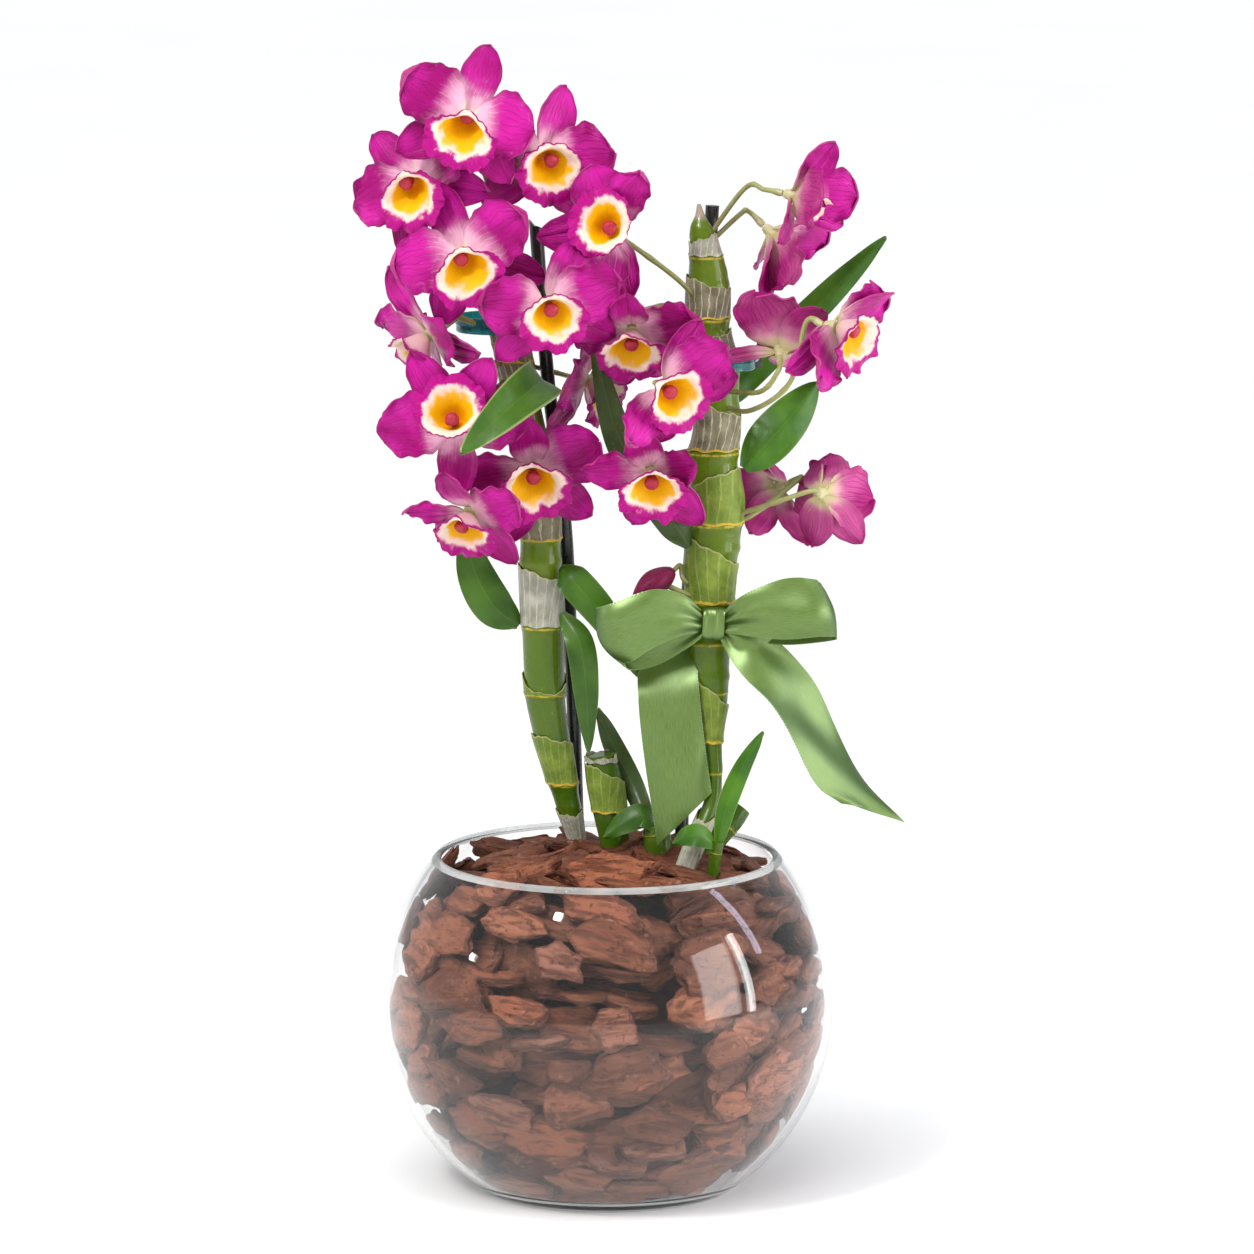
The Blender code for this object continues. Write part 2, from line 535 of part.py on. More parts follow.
def blade_shape(route, side, width, fold, wave=0.0, foot=FOOT_SHARE):
    """A leaf along a route, folded along its midrib."""
    def shape(t, v):
        u = 1 - (1 - t) ** 1.15
        middle = smooth_between(route, u)
        ahead = (smooth_between(route, u + 0.02) - smooth_between(route, u - 0.02)).normalized()
        across = (side - ahead * side.dot(ahead)).normalized()
        above = ahead.cross(across)
        full = math.sin(math.pi * u ** 0.85) if u < 1 else 0.0
        share = max(full, 0.0) ** 0.8
        half = width / 2 * max(share, foot * (1 - u) + 0.09 * u)
        lift = fold * half * abs(v) + wave * math.sin(math.tau * 1.4 * u + v) * v * v
        return middle + across * half * v + above * lift

    return shape


def leaf(name, row, material):
    cane, height, side_angle, way, width, fold, inset = row
    stations = CANE_LEFT if cane == "left" else CANE_RIGHT
    middle, radius = cane_at(stations, height)
    turn = math.radians(side_angle)
    out = Vector((math.cos(turn), math.sin(turn), 0))
    view = Vector((0, -1, 0.15))
    side = (vector_mm(way[-1]) - middle).cross(view).normalized()
    sideways = FOOT_SHARE * width / 2 * MM * abs(side.dot(out))
    foot = middle + out * (radius * NODE_SWELL + SEAT + sideways - inset * MM)
    route = [foot] + [vector_mm(row) for row in way]
    thing = sheet_piece(name, 5, 2, blade_shape(route, side, width * MM, fold, 0.0012), LEAF_THICKNESS)
    thing.name = name
    thing.data.name = name
    thing.data.materials.append(material)
    return thing


def glass_bowl(material):
    """The ball's wall as one closed profile, turned by a Screw."""
    inner = BOWL_RADIUS - GLASS
    rim = math.acos(RIM_RADIUS / BOWL_RADIUS)

    def arc(radius, lowest, steps, upward):
        angles = [lowest + (rim - lowest) * k / steps for k in range(steps + 1)]
        points = [(radius * math.cos(a), BOWL_CENTRE + radius * math.sin(a)) for a in angles]
        return points if upward else points[::-1]

    inner_low = -math.asin((BOWL_CENTRE - GLASS_FLOOR) / inner)
    outer_low = -math.asin(BOWL_CENTRE / BOWL_RADIUS)
    inside = arc(inner, inner_low, BOWL_ARC_STEPS, True)
    outside = arc(BOWL_RADIUS, outer_low, BOWL_ARC_STEPS, False)
    top = ((inside[-1][0] + outside[0][0]) / 2, (inside[-1][1] + outside[0][1]) / 2 + RIM_BEAD)
    profile = [(0.0, GLASS_FLOOR)] + inside + [top] + outside + [(0.0, 0.0)]
    builder = bmesh.new()
    spots = [builder.verts.new((x, 0, z)) for x, z in profile]
    for pair in zip(spots, spots[1:]):
        builder.edges.new(pair)
    thing = place("glass_bowl", mesh_from(builder, "glass_bowl"), material)
    turn = thing.modifiers.new("turn", "SCREW")
    turn.steps = BOWL_SIDES
    turn.render_steps = BOWL_SIDES
    turn.use_merge_vertices = True
    turn.merge_threshold = 0.00001
    turn.use_smooth_shade = True
    return thing


def bark_surface(x, y):
    """Height of the bark core's mound."""
    return BARK_TOP + BARK_MOUND * (1 - (x * x + y * y) / 0.07 ** 2) - 0.05 * y


def hold_in_bowl(point, reach=BARK_REACH):
    """Pulls a point of the bark back inside the glass."""
    centre = Vector((0, 0, BOWL_CENTRE))
    out = point - centre
    if out.length > reach:
        point = centre + out.normalized() * reach
    point.z = max(point.z, GLASS_FLOOR + GAP)
    return point


def chip(name, centre, normal, draw, size=1.0):
    """One bark chip: a flat angular lump that lies across the given normal."""
    builder = bmesh.new()
    bmesh.ops.create_icosphere(builder, subdivisions=1, radius=1.0)
    spin = Matrix.Rotation(draw.uniform(0, math.pi), 4, "Z")
    lean = Matrix.Rotation(draw.uniform(-CHIP_LEAN, CHIP_LEAN), 4, "X")
    lean @= Matrix.Rotation(draw.uniform(-CHIP_LEAN, CHIP_LEAN), 4, "Y")
    frame = Matrix.Translation(centre) @ normal.to_track_quat("Z", "Y").to_matrix().to_4x4() @ spin @ lean
    half = (draw.uniform(*CHIP_LENGTH) / 2 * size, draw.uniform(*CHIP_WIDTH) / 2 * size, CHIP_THICKNESS / 2)
    for corner in builder.verts:
        rough = Vector([value * side * draw.uniform(0.82, 1.15) for value, side in zip(corner.co, half)])
        corner.co = hold_in_bowl(frame @ rough)
    return place(name, mesh_from(builder))


def bark_bed(material, cutters):
    """The core of the bed, the chips that stand out of it, and the holes that the stems stand in."""
    builder = bmesh.new()
    bmesh.ops.create_uvsphere(builder, u_segments=14, v_segments=8, radius=BARK_CORE)
    for corner in builder.verts:
        point = corner.co + Vector((0, 0, BOWL_CENTRE))
        point.z = min(point.z, bark_surface(point.x, point.y))
        corner.co = hold_in_bowl(point)
    pieces = [place("bark_core", mesh_from(builder))]
    draw = random.Random(CHIP_SEED)
    centre = Vector((0, 0, BOWL_CENTRE))
    golden = math.pi * (3 - math.sqrt(5))
    lowest, highest = -0.80, 0.60
    for k in range(WALL_CHIPS):
        level = lowest + (highest - lowest) * (k + 0.5) / WALL_CHIPS
        around = math.sqrt(1 - level * level)
        normal = Vector((around * math.cos(golden * k), around * math.sin(golden * k), level))
        pieces.append(chip("chip", centre + normal * (BARK_REACH - 0.0050), normal, draw))
    for k in range(TOP_CHIPS):
        reach = 0.062 * math.sqrt((k + 0.5) / TOP_CHIPS)
        x, y = reach * math.cos(golden * k), reach * math.sin(golden * k)
        spot = Vector((x, y, bark_surface(x, y) + 0.0015))
        upward = Vector((0.1 * draw.uniform(-1, 1), 0.15, 1)).normalized()
        pieces.append(chip("chip", spot, upward, draw, 0.95))
    bed = combine("bark_bed_whole", pieces, material)
    return combine("bark_bed", [bed] + cutters, material, "DIFFERENCE")


def stem_cutter(name, points, radii):
    """The hole round a stem: its own shape, with clearance."""
    clear = 0.0004
    high = points[0] + (points[0] - points[1]).normalized() * clear
    low = points[-1] + (points[-1] - points[-2]).normalized() * clear
    return tube(name, [high] + list(points[1:-1]) + [low], [radius + clear for radius in radii], 4, CUTTERS)


def stub_outline(rows):
    return [vector_mm(row[:3]) for row in rows], [row[3] / 2 * MM for row in rows]


def low_leaf(name, rows, width, fold):
    """A leaf that is fused to a stub or a shoot, whose foot is sunk in it."""
    route = [vector_mm(row) for row in rows]
    side = (route[-1] - route[0]).cross(Vector((0, -1, 0.3))).normalized()
    return sheet_piece(name, 5, 2, blade_shape(route, side, width * MM, fold, 0.0008, 0.3), LEAF_THICKNESS)


def clip(name, place_mm, catch_mm, material):
    """A ring round the cane with a catch that grips the stake."""
    centre = vector_mm(place_mm)
    builder = bmesh.new()
    bmesh.ops.create_cone(builder, cap_ends=False, segments=CLIP_SIDES, radius1=CLIP_RADIUS * MM,
                          radius2=CLIP_RADIUS * MM, depth=CLIP_HEIGHT * MM)
    bmesh.ops.translate(builder, vec=centre, verts=builder.verts)
    ring = place(name + "_ring", mesh_from(builder))
    wall = ring.modifiers.new("wall", "SOLIDIFY")
    wall.thickness = CLIP_WALL * MM
    wall.offset = 1.0
    ring = bake(ring)
    middle = vector_mm(catch_mm)
    towards = middle - centre
    builder = bmesh.new()
    bmesh.ops.create_cube(builder, size=1.0)
    bmesh.ops.scale(builder, vec=vector_mm(CLIP_CATCH), verts=builder.verts)
    turn = Matrix.Rotation(math.atan2(towards.y, towards.x), 4, "Z")
    bmesh.ops.transform(builder, matrix=Matrix.Translation(middle) @ turn, verts=builder.verts)
    catch = place(name + "_catch", mesh_from(builder))
    return combine(name, [ring, catch], material)


def strip_shape(stations, slant=0.0):
    """A ribbon run: u along its middle and v across its width."""
    middles = [vector_mm(row[0]) for row in stations]
    halves = [vector_mm(row[1]) for row in stations]

    def shape(u, v):
        reach = u + slant * v * u ** 4
        return smooth_between(middles, reach) + smooth_between(halves, min(reach, 1.0)) * v

    return shape


def ribbon_bow(material):
    """Band, knot, two loops and two tails."""
    builder = bmesh.new()
    bmesh.ops.create_cone(builder, cap_ends=False, segments=BAND_SIDES, radius1=BAND_RADIUS * MM,
                          radius2=BAND_RADIUS * MM, depth=BAND_HEIGHT * MM)
    bmesh.ops.translate(builder, vec=vector_mm(BAND_CENTRE), verts=builder.verts)
    band = place("ribbon_band", mesh_from(builder))
    wall = band.modifiers.new("wall", "SOLIDIFY")
    wall.thickness = RIBBON_THICKNESS
    wall.offset = 1.0
    band = bake(band)
    builder = bmesh.new()
    bmesh.ops.create_cube(builder, size=1.0)
    bmesh.ops.scale(builder, vec=vector_mm(KNOT_SIZE), verts=builder.verts)
    bmesh.ops.bevel(builder, geom=builder.edges[:], offset=KNOT_ROUNDING, segments=1, affect="EDGES",
                    profile=0.5, material=-1)
    bmesh.ops.translate(builder, vec=vector_mm(KNOT_CENTRE), verts=builder.verts)
    pieces = [place("ribbon_knot", mesh_from(builder)), band]
    for name, stations in RIBBON_RUNS.items():
        slant = RUN_SLANTS.get(name, 0.0)
        steps = 3 * (len(stations) - 1) // 2
        shape = strip_shape(stations, slant)
        pieces.append(sheet_piece("ribbon_" + name, steps, 1, shape, RIBBON_THICKNESS))
    return combine("ribbon_bow", pieces, material, solver="MANIFOLD")


def flower_bud(material, frame):
    """A closed pointed bud."""
    builder = bmesh.new()
    spots = [builder.verts.new((r * MM, 0, d * MM)) for r, d in BUD_PROFILE]
    edges = [builder.edges.new(pair) for pair in zip(spots, spots[1:])]
    bmesh.ops.spin(builder, geom=spots + edges, cent=(0, 0, 0), axis=(0, 0, 1), angle=math.tau,
                   steps=BUD_SIDES, use_merge=True)
    bmesh.ops.remove_doubles(builder, verts=builder.verts, dist=1e-6)
    bmesh.ops.recalc_face_normals(builder, faces=builder.faces)
    bmesh.ops.transform(builder, matrix=frame, verts=builder.verts)
    return place("flower_bud", mesh_from(builder, "flower_bud"), material)


def build():
    clear_scene()
    glass = finish("clear_glass", (0.95, 0.97, 0.97), 0.02, alpha=0.35, transmission=1.0)
    bark = finish("pine_bark", (0.28, 0.10, 0.055), 0.85)
    green = finish("cane_green", (0.20, 0.30, 0.05), 0.45)
    leaf_green = finish("leaf_green", (0.09, 0.24, 0.05), 0.4)
    magenta = finish("petal_magenta", (0.55, 0.02, 0.36), 0.5)
    throat = finish("lip_gold_and_white", (0.90, 0.62, 0.25), 0.5)
    black = finish("stake_black", (0.02, 0.02, 0.02), 0.4)
    teal = finish("clip_teal", (0.01, 0.22, 0.22), 0.25)
    satin = finish("ribbon_satin", (0.24, 0.42, 0.13), 0.35)

    canes = {"left": CANE_LEFT, "right": CANE_RIGHT}
    stems = {"left": [], "right": []}
    cutters = []
    for side, nodes in (("left", LEFT_NODES), ("right", RIGHT_NODES)):
        points, radii = cane_outline(canes[side], nodes)
        stems[side].append(tube("cane_body_" + side, points, radii, CANE_SIDES_STEP))
        cutters.append(stem_cutter("hole_" + side, points, radii))

    for order, (key, row) in enumerate(BLOOMS.items()):
        centre, turn, tilt, roll, spread, opening, side, height, mids = row
        frame = bloom_frame(centre, turn, tilt, roll)
        seed = BLOOM_SEED + order
        perianth(key, frame, spread, opening, seed, magenta)
        lip("bloom_%s_lip" % key, frame, spread, seed * 1.7, LIP_DROPS.get(key, LIP_DROP),
            LIP_CLOSED.get(key, 1.0), throat)
        stems[side].append(stalk(key, canes[side], height, mids, frame))

    frame = bloom_frame(*BUD_PLACE)
    flower_bud(magenta, frame)
    height, bend = BUD_STALK
    points = [cane_at(CANE_RIGHT, height)[0], vector_mm(bend)]
    points += [frame @ Vector((0, 0, -0.004)), frame @ Vector((0, 0, -GAP))]
    stems["right"].append(tube("stalk_bud", points, [STALK_RADIUS] * 4, STALK_SIDES_STEP))
    for side in ("left", "right"):
        combine("cane_" + side, stems[side], green)

    points, radii = stub_outline(STUB_FRONT)
    cutters.append(stem_cutter("hole_stub_front", points, radii))
    front = tube("cane_stub_front", points, radii, 3)
    front.name = "cane_stub_front"
    front.data.materials.append(green)

    back = []
    for name, rows in (("centre", STUB_CENTRE), ("right", STUB_RIGHT)):
        points, radii = stub_outline(rows)
        cutters.append(stem_cutter("hole_stub_" + name, points, radii))
        back.append(tube("stub_" + name, points, radii, 2))
    link = [vector_mm(STUB_CENTRE[-1][:3]), vector_mm(STUB_RIGHT[-1][:3])]
    cutters.append(stem_cutter("hole_rhizome", link, [RHIZOME_RADIUS] * 2))
    back.append(tube("rhizome", link, [RHIZOME_RADIUS] * 2, 2))
    back += [low_leaf(name, *row) for name, row in STUB_LEAVES.items()]
    combine("cane_stubs_back", back, green)

    for name, rows in (("left", STAKE_LEFT), ("right", STAKE_RIGHT)):
        points = [vector_mm(row) for row in rows]
        radii = [STAKE_WIDTH / 2 * MM] * len(points)
        stake = tube("stake_" + name, points, radii, 1)
        stake.name = "stake_" + name
        stake.data.materials.append(black)
        cutters.append(stem_cutter("hole_stake_" + name, points, radii))
    clip("clip_left", *CLIP_LEFT, teal)
    clip("clip_right", *CLIP_RIGHT, teal)

    points, radii = stub_outline(SHOOT_STEM)
    cutters.append(stem_cutter("hole_shoot", points, radii))
    shoot = [tube("shoot_stem", points, radii, 2)]
    shoot += [low_leaf(name, *row) for name, row in SHOOT_LEAVES.items()]
    combine("new_shoot", shoot, leaf_green)

    for key, row in LEAVES.items():
        leaf("leaf_" + key, row, leaf_green)

    ribbon_bow(satin)
    glass_bowl(glass)
    bark_bed(bark, cutters)


build()
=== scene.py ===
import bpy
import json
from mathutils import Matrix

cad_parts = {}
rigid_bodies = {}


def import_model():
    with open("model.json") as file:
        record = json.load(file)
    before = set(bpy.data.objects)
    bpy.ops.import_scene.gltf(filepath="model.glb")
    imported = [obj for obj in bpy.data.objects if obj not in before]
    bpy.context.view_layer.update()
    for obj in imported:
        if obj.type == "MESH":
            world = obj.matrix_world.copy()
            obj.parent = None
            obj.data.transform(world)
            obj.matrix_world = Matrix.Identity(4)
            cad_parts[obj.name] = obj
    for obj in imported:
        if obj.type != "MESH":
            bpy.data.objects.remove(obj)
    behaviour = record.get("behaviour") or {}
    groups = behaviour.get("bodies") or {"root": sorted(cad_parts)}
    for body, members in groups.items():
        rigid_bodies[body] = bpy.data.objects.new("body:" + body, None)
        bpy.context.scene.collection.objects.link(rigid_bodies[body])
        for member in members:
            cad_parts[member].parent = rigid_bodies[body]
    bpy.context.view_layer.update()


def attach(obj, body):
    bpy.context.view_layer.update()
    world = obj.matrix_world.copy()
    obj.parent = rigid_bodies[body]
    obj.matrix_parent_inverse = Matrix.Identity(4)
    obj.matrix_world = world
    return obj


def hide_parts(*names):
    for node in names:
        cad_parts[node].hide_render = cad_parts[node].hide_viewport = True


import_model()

import json
import random
from functools import partial
from math import acos, asin, atan2, copysign, cos, exp, hypot, pi, radians, sin, sqrt, tau

import bmesh
import bpy
from mathutils import Matrix, Vector, noise

# Potted orchid in a glass bowl. Tables of the object give millimetres and degrees, unless a note says
# otherwise; meshes, the camera, the stage and its lamps are in metres.
mm = 0.001
gap = 0.3

view = dict(place=(0.0088, -3.0, 0.7583569), tilt=9.629381, lens=199.52, sensor=36)
cameraData = bpy.data.cameras.new("camera")
cameraData.lens, cameraData.sensor_width = view["lens"], view["sensor"]
camera = bpy.data.objects.new("camera", cameraData)
camera.location = view["place"]
camera.rotation_euler = (pi / 2 - radians(view["tilt"]), 0, 0)
bpy.context.scene.collection.objects.link(camera)
bpy.context.scene.camera = camera
bpy.context.scene.view_settings.view_transform = "Standard"
print("camera set")

# the node tree that is being wired and, for a material, its shader
bench = {}


def connect(item, wired):
    for key, value in wired.items():
        if isinstance(value, bpy.types.NodeSocket):
            bench["tree"].links.new(value, item.inputs[key])
        else:
            item.inputs[key].default_value = value


def addNode(kind, wired=None, **settings):
    item = bench["tree"].nodes.new("ShaderNode" + kind)
    for key, value in settings.items():
        setattr(item, key, value)
    connect(item, wired or {})
    return item


def calc(operation, *values):
    return addNode("Math", dict(enumerate(values)), operation=operation).outputs[0]


plus, minus, times, larger = (partial(calc, name) for name in ("ADD", "SUBTRACT", "MULTIPLY", "MAXIMUM"))
scaled, unsigned, sine = (partial(calc, name) for name in ("MULTIPLY_ADD", "ABSOLUTE", "SINE"))


def fade(value, low, high):
    # 0 below low, 1 above high, smooth between
    return addNode("MapRange", {0: value, 1: low, 2: high}, interpolation_type="SMOOTHSTEP").outputs[0]


def tint(share, first, second):
    first, second = [(*c, 1) if isinstance(c, tuple) else c for c in (first, second)]
    return addNode("Mix", {0: share, 6: first, 7: second}, data_type="RGBA").outputs[2]


def paint(colour, *coats):
    # lays each coat, a mask with its tone, over the colour
    for mask, tone in coats:
        colour = tint(mask, colour, tone)
    return colour


def reading(name, output="Fac"):
    return addNode("Attribute", attribute_name=name).outputs[output]


def noiseAt(spot, scale, detail, **more):
    return addNode("TexNoise", {"Vector": spot, "Scale": scale, "Detail": detail, **more}).outputs[0]


def bumped(height, strength, distance):
    return addNode("Bump", {"Height": height, "Strength": strength, "Distance": distance}).outputs["Normal"]


def feed(**sockets):
    connect(bench["shader"], {title.replace("_", " "): value for title, value in sockets.items()})


def newMaterial(name, **sockets):
    material = bpy.data.materials.new(name)
    material.use_nodes = True
    bench.update(tree=material.node_tree, shader=material.node_tree.nodes["Principled BSDF"])
    feed(**sockets)
    return material


def newGroup(name, output, **inputs):
    group = bpy.data.node_groups.new(name, "ShaderNodeTree")
    for title, value in inputs.items():
        group.interface.new_socket(title, in_out="INPUT", socket_type="NodeSocketFloat").default_value = value
    group.interface.new_socket(output, in_out="OUTPUT", socket_type="NodeSocketFloat")
    bench["tree"] = group
    return group, group.nodes.new("NodeGroupInput").outputs


def endGroup(value):
    connect(bench["tree"].nodes.new("NodeGroupOutput"), {0: value})


def useGroup(group, **wired):
    return addNode("Group", wired, node_tree=group).outputs[0]


# veins that run along a petal, leaf, sheath or cane, from its own along and across values
veinLines, given = newGroup("veinLines", "Lines", Along=0, Across=0, Count=8, Wander=0.5, Seed=0)
spot = addNode("CombineXYZ", {0: times(given["Along"], 3.0), 1: times(given["Across"], 2.2),
                              2: times(given["Seed"], 31.0)}).outputs[0]
drift = times(minus(noiseAt(spot, 1.6, 2.0), 0.5), given["Wander"])
wave = plus(times(given["Across"], given["Count"]), times(drift, 3.0))
endGroup(fade(unsigned(sine(times(wave, pi))), 0.42, 0.0))

# soft patches from object coordinates
mottling, given = newGroup("mottling", "Mask", Scale=100, Detail=3, Low=0.35, High=0.65)
cloud = noiseAt(addNode("TexCoord").outputs["Object"], given["Scale"], given["Detail"])
endGroup(fade(cloud, given["Low"], given["High"]))

# small round specks from object coordinates
specks, given = newGroup("specks", "Mask", Scale=300, Size=0.2)
place = addNode("TexCoord").outputs["Object"]
cells = addNode("TexVoronoi", {"Vector": place, "Scale": given["Scale"]}).outputs["Distance"]
endGroup(calc("LESS_THAN", cells, given["Size"]))


def veinsOf(along, across, count, wander, seed):
    return useGroup(veinLines, Along=along, Across=across, Count=count, Wander=wander, Seed=seed)


def mottled(scale, detail=3, low=0.3, high=0.7):
    return useGroup(mottling, Scale=scale, Detail=detail, Low=low, High=high)


def petalMaterial(name, look):
    material = newMaterial(name, Roughness=look["roughness"], Specular_IOR_Level=0.18)
    along, across, tone = map(reading, ("along", "across", "tone"))
    lines = veinsOf(along, across, look["veins"], 0.5, tone)
    fine = veinsOf(along, across, look["veins"] * 2.7, 0.9, tone)
    patches = mottled(120)
    full = fade(minus(scaled(patches, 0.12, along), times(lines, 0.07)), *look["paleReach"])
    veined = times(larger(lines, times(fine, 0.5)), full)
    outer = larger(fade(unsigned(across), 0.7, 1.0), fade(along, 0.88, 1.0))
    colour = paint(
        look["pale"], (full, look["deep"]),
        # lighter patches: partly the petal's own uneven tone, partly painted soft highlights
        (times(mottled(45, 2, 0.35, 0.62), times(full, look["highlightShare"])), look["light"]),
        (times(veined, look["veinShare"]), look["dark"]),
        (times(outer, look["edgeShare"]), look["dark"]),
        (times(fade(along, look["footReach"], 0.0), 0.8), look["foot"]))
    feed(Base_Color=colour, Normal=bumped(minus(times(patches, 0.5), veined), look["relief"], 0.0004))
    return material


petalFront = petalMaterial("petalFront", dict(
    pale=(0.86, 0.46, 0.62), deep=(0.33, 0.001, 0.150), light=(0.60, 0.012, 0.33), dark=(0.17, 0.0003, 0.070),
    foot=(0.82, 0.70, 0.56), footReach=0.16, paleReach=(0.18, 0.56), highlightShare=0.9, veins=5, veinShare=0.25,
    edgeShare=0.50, roughness=0.36, relief=0.6))
petalBack = petalMaterial("petalBack", dict(
    pale=(0.74, 0.40, 0.46), deep=(0.40, 0.016, 0.180), light=(0.58, 0.090, 0.30), dark=(0.26, 0.004, 0.110),
    foot=(0.46, 0.50, 0.15), footReach=0.28, paleReach=(0.10, 0.60), highlightShare=0.9, veins=6, veinShare=0.35,
    edgeShare=0.3, roughness=0.45, relief=0.7))
budSkin = petalMaterial("budSkin", dict(
    pale=(0.42, 0.14, 0.16), deep=(0.175, 0.008, 0.050), light=(0.27, 0.025, 0.085),
    dark=(0.085, 0.001, 0.026), foot=(0.40, 0.40, 0.12), footReach=0.16, paleReach=(0.05, 0.30),
    highlightShare=0.8, veins=6, veinShare=0.4, edgeShare=0.3, roughness=0.4, relief=0.7))


def lipMaterial(name, look):
    # gold throat, cream band with an uneven edge, magenta skirt on the lower side
    material = newMaterial(name, Roughness=0.45, Specular_IOR_Level=0.18)
    reach, low, bearing = map(reading, ("reach", "low", "bearing"))
    patches = mottled(420)
    uneven = scaled(patches, 0.03, scaled(mottled(170, 1), 0.12, reach))
    rays = veinsOf(reach, bearing, 44, 0.5, low)
    start = scaled(calc("POWER", minus(1.0, low), 1.5), 0.27, look["skirtReach"])
    beyond = minus(scaled(rays, -0.03, uneven), start)
    skirt = fade(beyond, -0.05, 0.045)
    colour = paint(
        look["throat"], (fade(uneven, 0.16, 0.52), look["gold"]),
        (times(times(rays, fade(reach, 0.75, 0.45)), 0.35), look["throat"]),
        (fade(uneven, *look["goldReach"]), look["cream"]),
        (times(fade(beyond, -0.22, 0.0), 0.35), look["blush"]),
        (skirt, look["skirt"]), (times(times(rays, skirt), 0.45), look["dark"]))
    feed(Base_Color=colour, Normal=bumped(minus(times(patches, 0.6), rays), 0.35, 0.0003))
    return material


lipInside = lipMaterial("lipInside", dict(
    throat=(0.78, 0.26, 0.001), gold=(0.92, 0.47, 0.001), cream=(0.88, 0.74, 0.58), blush=(0.80, 0.34, 0.50),
    skirt=(0.40, 0.001, 0.190), dark=(0.16, 0.0005, 0.065), goldReach=(0.64, 0.76), skirtReach=0.80))
lipOutside = lipMaterial("lipOutside", dict(
    throat=(0.50, 0.40, 0.20), gold=(0.68, 0.44, 0.34), cream=(0.68, 0.42, 0.44), blush=(0.56, 0.12, 0.26),
    skirt=(0.30, 0.004, 0.130), dark=(0.14, 0.001, 0.055), goldReach=(0.30, 0.60), skirtReach=0.64))


def plainMaterial(name, patches, first, second, relief=0.0, depth=0.001, **sockets):
    # one soft finish of two tones; patches are a mask's scale, detail, low and high
    material = newMaterial(name, **sockets)
    mask = mottled(*patches)
    feed(Base_Color=tint(mask, first, second), Normal=bumped(mask, relief, depth))
    return material


spurPale = plainMaterial("spurPale", (350,), (0.48, 0.46, 0.20), (0.62, 0.52, 0.34), 0.25, 0.0003,
                         Roughness=0.45)
dryTan = plainMaterial("dryTan", (500, 4), (0.28, 0.21, 0.12), (0.56, 0.50, 0.38), 0.5, 0.0005,
                       Roughness=0.7)
pinWhite = plainMaterial("pinWhite", (700, 2), (0.62, 0.62, 0.60), (0.80, 0.80, 0.78), Roughness=0.4)
# painted shade: the near-black bark deep inside the heap
barkPaintedShade = plainMaterial("barkPaintedShade", (130, 5), (0.012, 0.005, 0.004), (0.050, 0.020, 0.012), 0.8, 0.002,
                         Roughness=0.95)
floorPale = plainMaterial("floorPale", (3, 4, 0.2, 0.8), (0.93, 0.93, 0.93), (0.95, 0.95, 0.95),
                          Roughness=0.8, Specular_IOR_Level=0.1)

columnPink = newMaterial("columnPink", Roughness=0.35, Specular_IOR_Level=0.3)
patches = mottled(700, 2, 0.4, 0.6)
tipward = scaled(patches, 0.18, reading("along"))
colour = paint((0.82, 0.46, 0.42), (fade(tipward, 0.15, 0.6), (0.30, 0.008, 0.030)),
               (fade(tipward, 0.88, 1.12), (0.40, 0.022, 0.045)))
feed(Base_Color=colour, Normal=bumped(patches, 0.3, 0.0003))

stalkGreen = newMaterial("stalkGreen", Roughness=0.42)
patches = mottled(240)
along = scaled(patches, 0.2, reading("along"))
colour = paint((0.16, 0.15, 0.045), (fade(along, 0.1, 0.75), (0.30, 0.31, 0.10)),
               (fade(along, 0.85, 1.15), (0.50, 0.46, 0.24)))
feed(Base_Color=colour, Normal=bumped(patches, 0.3, 0.0003))

# internodes: olive green with long fine ridges, yellow at each ring, dry at the very tip
caneGreen = newMaterial("caneGreen", Specular_IOR_Level=0.15, Coat_Weight=0.35, Coat_Roughness=0.12)
height, ring, bearing = map(reading, ("height", "ring", "bearing"))
ridges = veinsOf(height, bearing, 40, 0.4, 0.3)
small = mottled(420)
colour = paint(
    (0.085, 0.145, 0.002), (fade(height, 4.6, 3.0), (0.036, 0.100, 0.002)),
    (times(mottled(70, 4), 0.45), (0.110, 0.150, 0.006)),
    (times(ridges, 0.10), (0.16, 0.22, 0.03)),
    (times(useGroup(specks, Scale=190, Size=0.05), 0.6), (0.40, 0.42, 0.25)),
    (times(fade(ring, 0.3, 0.8), 0.45), (0.20, 0.23, 0.012)),
    (fade(scaled(small, 0.35, ring), 0.85, 1.15), (0.46, 0.34, 0.025)),
    (fade(height, 7.12, 7.18), (0.36, 0.29, 0.22)))
feed(Base_Color=colour, Roughness=scaled(fade(small, 0.0, 1.0), 0.16, 0.24),
     Normal=bumped(plus(ridges, small), 0.18, 0.0003))

# sheaths: tone 0 is living green, tone 1 dry paper
sheathSkin = newMaterial("sheathSkin", Roughness=0.42, Specular_IOR_Level=0.2)
along, tone, veins = map(reading, ("along", "tone", "veins"))
patches, small = mottled(150, 4), mottled(600)
lines = veinsOf(along, veins, 1.0, 0.2, tone)
living = tint(patches, (0.115, 0.180, 0.018), (0.200, 0.265, 0.035))
dry = tint(patches, (0.120, 0.105, 0.060), (0.240, 0.215, 0.140))
papery = tint(patches, (0.26, 0.26, 0.20), (0.44, 0.43, 0.36))
yellow = times(fade(scaled(small, 0.03, along), 0.075, 0.045), fade(tone, 1.0, 0.97))
colour = paint(
    living, (fade(tone, 0.0, 0.8), tint(fade(tone, 0.96, 1.0), dry, papery)),
    (times(lines, scaled(tone, 0.45, 0.40)), tint(tone, (0.34, 0.40, 0.12), (0.60, 0.55, 0.42))),
    (yellow, (0.52, 0.36, 0.035)), (times(fade(along, 0.965, 0.99), 0.8), (0.42, 0.40, 0.18)))
